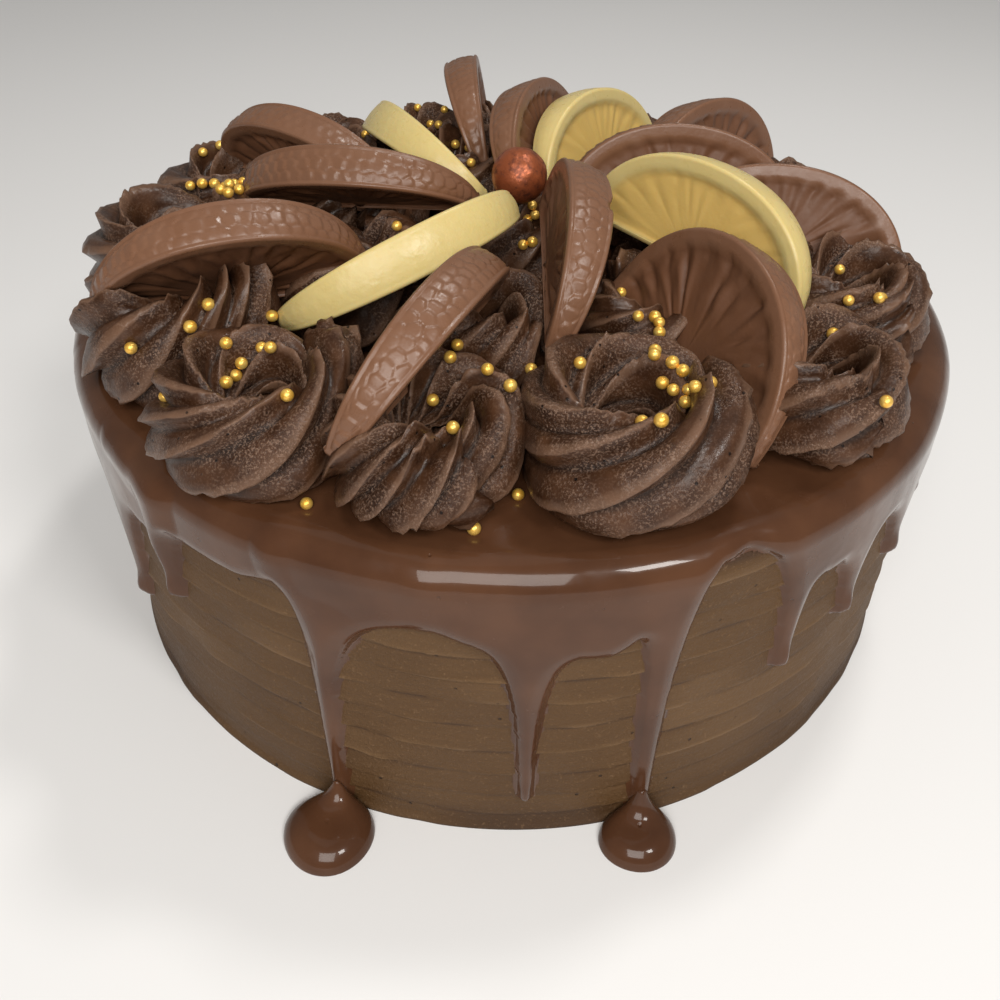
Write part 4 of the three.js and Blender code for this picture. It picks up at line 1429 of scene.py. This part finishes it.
@dataclass
class SegmentFan:
    """Chocolate orange segments fanned over the crown: thin half-moon wedges with a peel edge.

    Attributes:
        milk_finish: material of the milk chocolate segments.
        white_finish: material of the white ones.
        half_length: half of the straight edge.
        height: distance from the straight edge to the top of the peel.
        inner_thickness: thickness at the straight edge.
        peel_thickness: thickness at the top of the peel.
        squareness: power of the outline, which is 2 for half of an ellipse.
        edge_round: radius of the rounded edges.
        rim: width of the flat rim round a face.
        recess: depth of the face inside its rim.
        flute_depth: depth of the flutes.
        flutes: number of flutes in a full turn round the hub.
        scale_size: distance between two scales of the peel.
        scale_depth: depth of the scales.
        near_columns: points round the arc of a segment that is seen close.
        far_columns: the same of the others.
        edge_columns: points along the straight edge.
        near_face_rows: rows of points on a face of a segment that is seen close.
        far_face_rows: the same of the others.
        near_rows: rows of points across the peel of a segment that is seen close.
        far_rows: the same of the others.
        hub_rise: distance of the middle of a face from the straight edge.
        white_flutes: depth of a white segment's flutes as a share of a milk one's.
        white_scales: depth of a white segment's scales as a share of a milk one's.
        milk: poses of the milk chocolate segments.
        white: poses of the white ones.
        chip_middle: middle of the chip in the segment's own frame, in millimetres.
        chip_radius: its radius along each axis, in millimetres.
    """

    milk_finish: bpy.types.Material
    white_finish: bpy.types.Material
    half_length: float = 30 * MM
    height: float = 23.5 * MM
    inner_thickness: float = 4.5 * MM
    peel_thickness: float = 10.2 * MM
    squareness: float = 2.1
    edge_round: float = 1.1 * MM
    rim: float = 3.4 * MM
    recess: float = 0.95 * MM
    flute_depth: float = 0.56 * MM
    flutes: int = 26
    scale_size: float = 3.0 * MM
    scale_depth: float = 0.42 * MM
    near_columns: int = 200
    far_columns: int = 132
    edge_columns: int = 10
    near_face_rows: int = 20
    far_face_rows: int = 13
    near_rows: int = 30
    far_rows: int = 18
    hub_rise: float = 1.6 * MM
    white_flutes: float = 0.28
    white_scales: float = 0.2
    milk: tuple[SegmentPose, ...] = (
        SegmentPose((-55, 23, 93), 153, -5, 18), SegmentPose((-39, 3, 100), 170, 5, 46, 0, True),
        SegmentPose((-60, -40, 100), 205, -4, 31, 6, True),
        SegmentPose((-18.5, -64.5, 96), 246, 4, 25, 0, True),
        SegmentPose((8, -30, 99), 272, 4, 20, 0, True, True), SegmentPose((-13, 67, 92), 93, 8, 16),
        SegmentPose((8, 40, 95), 71, 8, 26), SegmentPose((40, 3, 97), 1, 5, 25),
        SegmentPose((52, 30, 94), 47, 3, 22), SegmentPose((62, -13, 94), 352, 0, 34),
        SegmentPose((39, -50, 94), 297, 5, 31, 9, True),
    )
    white: tuple[SegmentPose, ...] = (
        SegmentPose((-22, 33, 95), 116, 9, 43), SegmentPose((-26, -31, 101), 216, 12, 55),
        SegmentPose((23, 42, 92), 53, 14, 22), SegmentPose((40, -21, 98), 319, 5, 19),
    )
    chip_middle: Place = (4.0, 6.9, 25.2)
    chip_radius: Place = (4.6, 3.9, 4.6)

    def outline(self, columns: int, root: float) -> tuple[Array, Array]:
        """Half-moon outline and its outward directions.

        Args:
            columns: number of points round the arc.
            root: how far the straight edge lies below the segment's own place.

        Returns:
            Points and unit normals as arrays of along and rise.
        """
        turn = np.linspace(0.0, np.pi, columns)
        power = 2.0 / self.squareness
        along = self.half_length * np.sign(np.cos(turn)) * np.abs(np.cos(turn)) ** power
        rise = (self.height + root) * np.abs(np.sin(turn)) ** power - root
        arc = np.stack([along, rise], axis=-1)
        straight = np.linspace(-self.half_length, self.half_length, self.edge_columns + 2)[1:-1]
        points = np.concatenate([arc, np.stack([straight, np.full_like(straight, -root)], axis=-1)])
        heading = np.roll(points, -1, axis=0) - np.roll(points, 1, axis=0)
        heading /= np.linalg.norm(heading, axis=1, keepdims=True)
        return points, np.stack([heading[:, 1], -heading[:, 0]], axis=-1)

    def half_thickness(self, rise: Array) -> Array:
        """Half of the wedge's thickness at a distance from its straight edge."""
        share = np.clip(rise / self.height, 0.0, 1.05)
        return (self.inner_thickness + (self.peel_thickness - self.inner_thickness) * share) / 2

    def face(self, side: float, seed: int, flute_depth: float, columns: int, rows: int,
             root: float) -> tuple[Array, Array]:
        """One face, from its middle out to where the edge starts to round.

        Args:
            side: 1 or -1.
            seed: picks the unevenness of the flutes.
            flute_depth: depth of the flutes.
            columns: number of points round the arc.
            rows: number of rows of points from the middle outwards.
            root: how far the straight edge lies below the segment's own place.

        Returns:
            Array of rows, columns and X, Y, Z, and how sunken each point is.
        """
        points, normals = self.outline(columns, root)
        border = points - normals * self.edge_round
        hub = np.array([0.0, self.hub_rise - root])
        out = np.concatenate([np.linspace(0.06, 0.7, rows - 7), np.linspace(0.76, 1.0, 7)])
        flat = hub + (border - hub)[None] * out[:, None, None]
        to_edge = np.linalg.norm(border - hub, axis=-1)[None] * (1 - out[:, None])
        is_arc = (np.arange(len(points)) < columns)[None]
        margin = np.where(is_arc, self.rim - self.edge_round, 0.8 * MM)
        near_base = np.maximum(flat[..., 1] + root - 0.8 * MM, 0.0)
        sunken = ease(to_edge, margin, margin + 1.3 * MM) * ease(near_base, 0.0, 1.2 * MM)
        angle = np.arctan2(flat[..., 1] - hub[1], flat[..., 0])
        rng = np.random.default_rng(seed)
        phase = angle * self.flutes + 0.9 * np.sin(angle * 5 + rng.uniform(0, 6)) + 1.2 * out[:, None]
        place = np.stack([flat[..., 0], flat[..., 1], np.zeros_like(angle)], axis=-1)
        phase = phase + 0.9 * SmoothNoise(seed + 9, 4.0 * MM).at(place)
        fullness = 0.75 + 0.9 * SmoothNoise(seed + 8, 2.6 * MM).at(place)
        wave = (np.abs(np.sin(phase / 2)) * 2 - 1.1) * fullness
        reach = 0.50 + 0.12 * np.sin(angle * 9 + rng.uniform(0, 6)) + 0.08 * np.sin(angle * 23)
        fade = ease(out[:, None], reach - 0.12, reach + 0.25) * sunken
        lumps = SmoothNoise(seed, 3.2 * MM).at(place)
        depth = self.recess * sunken - flute_depth * wave * fade - 0.12 * MM * lumps * sunken
        across = self.half_thickness(flat[..., 1]) - depth
        return np.stack([flat[..., 0], side * across, flat[..., 1]], axis=-1), sunken

    def scales(self, along: Array, across: Array, seed: int) -> Array:
        """Height of the peel's overlapping scales from 0 to 1.

        Args:
            along: way round the arc.
            across: way across the peel.
            seed: picks the unevenness.

        Returns:
            One height for each point.
        """
        rng = np.random.default_rng(seed)
        size = self.scale_size
        jitter = rng.uniform(-0.2, 0.2, (64, 64, 2))
        row = np.round(across / size)
        best, second = np.full(along.shape, 9.0), np.full(along.shape, 9.0)
        tilt = np.zeros(along.shape)
        for up in (-1, 0, 1):
            near_row = row + up
            shift = (near_row % 2) / 2
            column = np.round(along / size - shift)
            for aside in (-1, 0, 1):
                near_column = column + aside
                nudge = jitter[near_row.astype(int) % 64, near_column.astype(int) % 64]
                gap_x = along / size - (near_column + shift + nudge[..., 0])
                gap_y = across / size - (near_row + nudge[..., 1])
                distance = np.hypot(gap_x, gap_y)
                is_nearest = distance < best
                second = np.where(is_nearest, best, np.minimum(second, distance))
                best = np.where(is_nearest, distance, best)
                tilt = np.where(is_nearest, gap_x, tilt)
        groove = np.clip((second - best) / 0.2, 0.0, 1.0)
        return groove * np.clip(0.5 + 0.85 * tilt, 0.1, 1.0)

    def peel(self, seed: int, scale_depth: float, columns: int, count: int, root: float) -> Array:
        """The edge from one face round to the other, with its rounded corners and scales.

        Args:
            seed: picks the unevenness of the scales.
            scale_depth: depth of the scales.
            columns: number of points round the arc.
            count: number of rows across the peel.
            root: how far the straight edge lies below the segment's own place.

        Returns:
            Array of rows, columns and X, Y, Z.
        """
        points, normals = self.outline(columns, root)
        half = self.half_thickness(points[:, 1])
        steps = np.vstack([[0.0, 0.0], np.diff(points, axis=0)])
        along = np.cumsum(np.linalg.norm(steps, axis=1))
        is_arc = ease(points[:, 1] + root, 0.4 * MM, 2.5 * MM)
        corner = []
        for tilt in np.radians([22.5, 45.0, 67.5]):
            inset = points - normals * (self.edge_round * (1 - math.sin(tilt)))
            corner.append((inset, half - self.edge_round * (1 - math.cos(tilt))))
        rows = [self._edge_row(inset, -across) for inset, across in corner]
        for share in np.linspace(-1.0, 1.0, count):
            across = share * (half - self.edge_round)
            relief = scale_depth * self.scales(along, across, seed) * (1 - abs(share) ** 6)
            crown = 0.35 * MM * (1 - share ** 2)
            outset = (relief - scale_depth + crown) * is_arc
            rows.append(self._edge_row(points + normals * outset[:, None], across))
        rows += [self._edge_row(inset, across) for inset, across in corner[::-1]]
        return np.array(rows)

    def _edge_row(self, flat: Array, across: Array) -> Array:
        """One row of the edge from its outline and its place across."""
        return np.stack([flat[:, 0], across, flat[:, 1]], axis=-1)

    def chip(self, points: Array, seed: int) -> Array:
        """Push the points inside the chip out to its rough hollow.

        Args:
            points: points of the segment in its own frame.
            seed: picks the roughness.

        Returns:
            The pushed points.
        """
        middle = np.array(self.chip_middle) * MM
        size = np.array(self.chip_radius) * MM
        local = (points - middle) / size
        distance = np.linalg.norm(local, axis=-1, keepdims=True)
        rough = 1 + 0.3 * SmoothNoise(seed, 1.5 * MM).at(points)[..., None]
        hollow = middle + local / np.maximum(distance, 1e-6) * rough * size
        return np.where(distance < rough, hollow, points)

    def build_one(self, pose: SegmentPose, kind: Chocolate, number: int) -> bpy.types.Object:
        """Make one segment.

        Args:
            pose: where it stands.
            kind: what it is moulded from.
            number: its number among those of its kind.

        Returns:
            The piece, placed.
        """
        seed = 300 + number + (40 if kind is Chocolate.WHITE else 0)
        is_milk = kind is Chocolate.MILK
        flute_depth = self.flute_depth * (1.0 if is_milk else self.white_flutes)
        scale_depth = self.scale_depth * (1.0 if is_milk else self.white_scales)
        root = pose.root * MM
        columns, rows, across = (
            (self.near_columns, self.near_face_rows, self.near_rows) if pose.near
            else (self.far_columns, self.far_face_rows, self.far_rows))
        back, back_sunken = self.face(-1.0, seed, flute_depth, columns, rows, root)
        front, front_sunken = self.face(1.0, seed + 500, flute_depth, columns, rows, root)
        peel = self.peel(seed, scale_depth, columns, across, root)
        grid = np.concatenate([back, peel, front[::-1]])
        sunken = np.concatenate([back_sunken, np.zeros(peel.shape[:2]), front_sunken[::-1]])
        if pose.chipped:
            grid = self.chip(grid, seed)
        rise = self.hub_rise - root
        hub_half = float(self.half_thickness(np.array(rise))) - 0.1 * MM
        draft = MeshDraft()
        draft.add_closed_grid(grid, Vector((0, -hub_half, rise)), Vector((0, hub_half, rise)))
        piece = draft.build(f"moulded_{kind.value}_segment_{number}")
        # The finish paints shade into the sunken face from these numbers.
        paint_closed_grid(piece, "sunken", sunken)
        piece.matrix_world = pose.placement()
        finish, slot = (self.milk_finish, Slot.MILK) if is_milk else (self.white_finish, Slot.WHITE)
        stand_for(piece, finish, slot, f"{kind.value}_segment_{number}")
        return piece

    def build(self) -> list[bpy.types.Object]:
        """Make every segment.

        Returns:
            The milk chocolate segments, then the white ones.
        """
        kinds = ((Chocolate.MILK, self.milk), (Chocolate.WHITE, self.white))
        return [self.build_one(pose, kind, number)
                for kind, poses in kinds for number, pose in enumerate(poses, start=1)]


# ------------------------------------------------------------------ ball and pearls


@dataclass
class LustreBall:
    """The ball in the middle of the crown."""

    finish: bpy.types.Material
    centre: Place = (0.0, 5.0, 107.0)
    radius: float = 6.9 * MM
    columns: int = 96

    def build(self) -> bpy.types.Object:
        """Make the slightly uneven ball.

        Returns:
            The piece.
        """
        tilt = np.linspace(0.0, np.pi, self.columns // 2)[1:-1]
        turn, down = np.meshgrid(full_turn(self.columns), tilt)
        unit = round_axis(turn, np.sin(down), np.cos(down))
        middle = np.array(self.centre) * MM
        reach = self.radius + 0.10 * MM * SmoothNoise(31, 3 * MM).at(unit * self.radius)
        reach = reach + 0.05 * MM * SmoothNoise(32, 0.9 * MM).at(unit * self.radius)
        grid = middle + unit * reach[..., None]
        draft = MeshDraft()
        pole = np.array([0, 0, self.radius])
        draft.add_closed_grid(grid, Vector(middle + pole), Vector(middle - pole))
        piece = draft.build("lustre_ball")
        stand_for(piece, self.finish, Slot.COPPER, "ball")
        return piece


@dataclass(frozen=True)
class PearlCluster:
    """A loose cluster of pearls: its middle and spread in millimetres, and how many it has."""

    x: float
    y: float
    wide: float
    deep: float
    count: int


@dataclass
class PearlStrew:
    """Gold pearls strewn over the crown, each lying on what is under it.

    Attributes:
        radius: a pearl's radius.
        sink: share of its radius that a pearl sinks into what it lies on.
        seed: picks sizes, clusters and steps.
        closest: least distance between two pearls, in radii.
        steps: how far a pearl may step aside where its own place is taken, in radii.
        sights: picture places of the pearls that the camera sees, in thousandths of its frame.
        clusters: clusters on the sides that it doesn't see.
        drop: height from which those are dropped, in millimetres.
    """

    finish: bpy.types.Material
    radius: float = 1.3 * MM
    sink: float = 0.3
    seed: int = 7
    closest: float = 1.8
    steps: tuple[float, ...] = (0.0, 1.2, 2.2, 3.4)
    sights: tuple[tuple[int, int], ...] = (
        (205, 304), (187, 325), (131, 345), (224, 344), (269, 315), (262, 346), (267, 343), (239, 362),
        (243, 373), (223, 382), (165, 401), (283, 395), (399, 228), (459, 344), (451, 359), (488, 371),
        (430, 398), (449, 427), (509, 388), (307, 507), (474, 532), (518, 498), (530, 367), (584, 365),
        (655, 356), (651, 354), (674, 364), (681, 371), (666, 382), (669, 388), (678, 391), (680, 399),
        (699, 389), (707, 381), (658, 418), (638, 422), (634, 283), (649, 286), (636, 294), (637, 314),
        (652, 316), (653, 323), (660, 334), (631, 223), (837, 268), (848, 298), (877, 298), (883, 299),
        (832, 332), (889, 403), (192, 184), (203, 182), (210, 181), (221, 184), (226, 182), (228, 188),
        (233, 186), (241, 182), (241, 191), (224, 195), (243, 185), (201, 154), (226, 147), (365, 136),
        (416, 109), (444, 111), (440, 124), (430, 123), (453, 144), (466, 147), (470, 163), (516, 196),
        (525, 195), (533, 205), (528, 218), (537, 217), (533, 243), (530, 248),
    )
    clusters: tuple[PearlCluster, ...] = (
        PearlCluster(30, 78, 9, 5, 4), PearlCluster(62, 48, 6, 8, 4), PearlCluster(-52, 52, 5, 4, 3),
        PearlCluster(4, 74, 5, 5, 2), PearlCluster(72, 8, 4, 5, 2),
    )
    drop: float = 150.0

    def unit_ball(self) -> tuple[Array, Array]:
        """Make a ball of radius 1.

        Returns:
            Its points, and three point indices for each of its triangles.
        """
        ball = bmesh.new()
        bmesh.ops.create_icosphere(ball, subdivisions=3, radius=1.0)
        points = np.array([vertex.co[:] for vertex in ball.verts])
        triangles = np.array([[vertex.index for vertex in face.verts] for face in ball.faces])
        ball.free()
        return points, triangles

    def rays(self, studio: "Studio") -> list[tuple[Vector, Vector]]:
        """Lines on which the pearls lie.

        Args:
            studio: knows where the camera looks.

        Returns:
            Start and direction of each line.
        """
        rng = np.random.default_rng(self.seed)
        lines = [studio.sight(*place) for place in self.sights]
        for cluster in self.clusters:
            for _ in range(cluster.count):
                spread = rng.uniform(0, 1, (2, 2)).sum(axis=0) - 1
                x = cluster.x + cluster.wide * spread[0]
                y = cluster.y + cluster.deep * spread[1]
                lines.append((Vector((x, y, self.drop)) * MM, Vector((0, 0, -1))))
        return lines

    def build(self, studio: "Studio", beds: list[bpy.types.Object],
              keep_off: list[bpy.types.Object]) -> bpy.types.Object:
        """Lay every pearl on the first surface along its line.

        Args:
            studio: knows where the camera looks.
            beds: pieces that pearls may lie on.
            keep_off: pieces that they may not lie on.

        Returns:
            All the pearls as one piece.
        """
        rng = np.random.default_rng(self.seed + 1)
        room = self.closest * self.radius
        bed_trees = [surface_tree(piece) for piece in beds]
        off_trees = [surface_tree(piece) for piece in keep_off]
        points, triangles = self.unit_ball()
        draft = MeshDraft()
        placed: list[Vector] = []
        for start, heading in self.rays(studio):
            for aside in self._asides(rng):
                centre = self._resting_place(start + aside, heading, bed_trees, off_trees)
                if centre and all((centre - other).length > room for other in placed):
                    placed.append(centre)
                    size = self.radius * rng.uniform(0.92, 1.06)
                    draft.add_triangles(points * size + np.array(centre[:]), triangles)
                    break
        piece = draft.build("gold_pearls")
        stand_for(piece, self.finish, Slot.GOLD)
        wanted = len(self.sights) + sum(cluster.count for cluster in self.clusters)
        LOG.info("%d pearls laid of %d", len(placed), wanted)
        return piece

    def _asides(self, rng: np.random.Generator) -> list[Vector]:
        """Steps aside that a pearl tries in turn.

        Args:
            rng: source of the first step's direction.

        Returns:
            The steps, the nearest first.
        """
        turned = rng.uniform(0, 2 * np.pi)
        asides = []
        for reach in self.steps:
            for quarter in range(4 if reach else 1):
                angle = turned + quarter * np.pi / 2 + reach
                asides.append(Vector((math.cos(angle), math.sin(angle), 0.0)) * reach * self.radius)
        return asides

    def _resting_place(self, start: Vector, heading: Vector, beds: list[BVHTree],
                       off: list[BVHTree]) -> Vector | None:
        """Find where a pearl comes to lie on the first bed along a line.

        Args:
            start: start of the line.
            heading: its direction.
            beds: search trees of the pieces that pearls may lie on.
            off: search trees of the pieces that they may not lie on.

        Returns:
            The pearl's centre, or None where a kept-off piece is in the way.
        """
        hits = [hit for hit in (tree.ray_cast(start, heading) for tree in beds) if hit[0]]
        if not hits:
            return None
        place, normal, _, distance = min(hits, key=lambda hit: hit[3])
        if normal.dot(heading) > 0:
            normal = -normal
        centre = place + normal * self.radius * (1 - self.sink)
        for tree in off:
            blocked = tree.ray_cast(start, heading)
            if blocked[0] and blocked[3] < distance:
                return None
            nearest = tree.find_nearest(centre)
            if nearest[0] and nearest[3] < self.radius:
                centre = centre + (centre - nearest[0]).normalized() * (self.radius - nearest[3])
        return centre


# ------------------------------------------------------------------ studio


@dataclass
class Studio:
    """Camera, pale floor and soft lights.

    Attributes:
        eye: the camera's place, in millimetres.
        pitch: how far it looks down from level, in degrees.
        roll: how far it is turned about its own view, in degrees.
        shift: the frame's shift, as shares of its width.
        lens: focal length, in millimetres.
        sensor: width of the sensor, in millimetres.
        aim: height of the place that the lights face.
    """

    eye: Place = (4.6, -230.6, 208.3)
    pitch: float = 37.755
    roll: float = 1.88
    shift: tuple[float, float] = (-0.0296, -0.0655)
    lens: float = 36.0
    sensor: float = 36.0
    aim: float = 60 * MM

    def placement(self) -> Matrix:
        """Work out how the camera stands.

        Returns:
            The camera's matrix.
        """
        tilt = Matrix.Rotation(math.radians(90 - self.pitch), 4, "X")
        turned = Matrix.Rotation(math.radians(self.roll), 4, "Z")
        return Matrix.Translation(Vector(self.eye) * MM) @ tilt @ turned

    def sight(self, across: float, down: float) -> tuple[Vector, Vector]:
        """Start and direction of the line of sight through a place in the picture.

        Args:
            across: thousandths of the frame from its left edge.
            down: thousandths of the frame from its top edge.

        Returns:
            The camera's place and a unit direction.
        """
        local = Vector((across / 1000 - 0.5 + self.shift[0], 0.5 - down / 1000 + self.shift[1],
                        -self.lens / self.sensor))
        turned = self.placement()
        return turned.translation, (turned.to_3x3() @ local).normalized()

    def camera(self) -> None:
        """Set up the camera at the photograph's view."""
        data = bpy.data.cameras.new("camera")
        data.sensor_width = self.sensor
        data.lens = self.lens
        data.shift_x, data.shift_y = self.shift
        data.clip_start = 0.01
        camera = bpy.data.objects.new("camera", data)
        bpy.context.scene.collection.objects.link(camera)
        camera.matrix_world = self.placement()
        bpy.context.scene.camera = camera

    def floor(self) -> None:
        """Lay a wide pale floor."""
        draft = MeshDraft()
        half = 3.0
        corners = np.array([[[-half, -half, 0], [half, -half, 0]], [[-half, half, 0], [half, half, 0]]])
        draft.add_grid(corners, wrap=False)
        floor = draft.build("floor")
        bench = Bench("pale_floor")
        colour = bench.blend(bench.noise(0.5, 2.0), (0.80, 0.80, 0.80), (0.76, 0.76, 0.76))
        floor.data.materials.append(bench.finish(Base_Color=colour, Roughness=0.6))

    def light(self, name: str, place: Place, size: float, power: float, colour: Colour) -> None:
        """Hang a square soft light that faces the cake.

        Args:
            name: the light's name.
            place: where it hangs, in metres.
            size: length of its sides, in metres.
            power: its power in watts.
            colour: its colour.
        """
        data = bpy.data.lights.new(name, "AREA")
        data.size = size
        data.energy = power
        data.color = colour
        lamp = bpy.data.objects.new(name, data)
        bpy.context.scene.collection.objects.link(lamp)
        lamp.location = place
        lamp.rotation_euler = (Vector(place) - Vector((0, 0, self.aim))).to_track_quat("Z", "Y").to_euler()

    def build(self) -> None:
        """Set up everything round the cake."""
        self.camera()
        self.floor()
        world = bpy.data.worlds.new("room")
        world.use_nodes = True
        background = world.node_tree.nodes["Background"]
        background.inputs["Color"].default_value = (1.0, 0.98, 0.95, 1.0)
        background.inputs["Strength"].default_value = 0.25
        bpy.context.scene.world = world
        bpy.context.scene.view_settings.view_transform = "Standard"
        self.light("ceiling", (0.20, 0.20, 0.85), 0.12, 1.8, (1.0, 0.97, 0.93))
        self.light("overhead", (-0.15, 0.15, 1.1), 0.7, 0.4, (1.0, 0.96, 0.9))
        self.light("near_camera", (-0.05, -0.82, 0.72), 0.6, 8.5, (1.0, 0.97, 0.93))
        self.light("front_right", (0.48, -0.60, 0.85), 0.22, 4.0, (1.0, 0.97, 0.93))


# ------------------------------------------------------------------ assembly


def main() -> None:
    """Build the cake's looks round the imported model."""
    logging.basicConfig(level=logging.INFO, format="%(name)s: %(message)s")
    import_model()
    studio = Studio()
    studio.build()
    pieces = [ScrapedBody(ScrapedButtercream().build()).build()]
    ganache = GanacheCoat(PouredGanache().build()).build()
    rosettes = RosetteCrown(PipedCream().build()).build()
    # deep is each chocolate's painted shade colour for its sunken faces.
    milk = MouldedChocolate("milk_chocolate", base=(0.160, 0.075, 0.040), deep=(0.125, 0.053, 0.025),
                            bloom=(0.205, 0.110, 0.068), translucency=0.0, roughness=0.30)
    white = MouldedChocolate("white_chocolate", base=(0.57, 0.45, 0.18), deep=(0.58, 0.39, 0.115),
                             bloom=(0.62, 0.51, 0.24), translucency=0.25, roughness=0.30)
    segments = SegmentFan(milk.build(), white.build()).build()
    ball = LustreBall(CopperLustre().build()).build()
    pearls = PearlStrew(GoldPearl().build()).build(studio, [*rosettes, ganache], [*segments, ball])
    pieces += [ganache, *rosettes, *segments, ball, pearls]
    total = 0
    for piece in pieces:
        triangles = sum(len(face.vertices) - 2 for face in piece.data.polygons)
        total += triangles
        LOG.info("%s: %d triangles", piece.name, triangles)
    LOG.info("%d triangles in all", total)


if __name__ == "__main__":
    main()
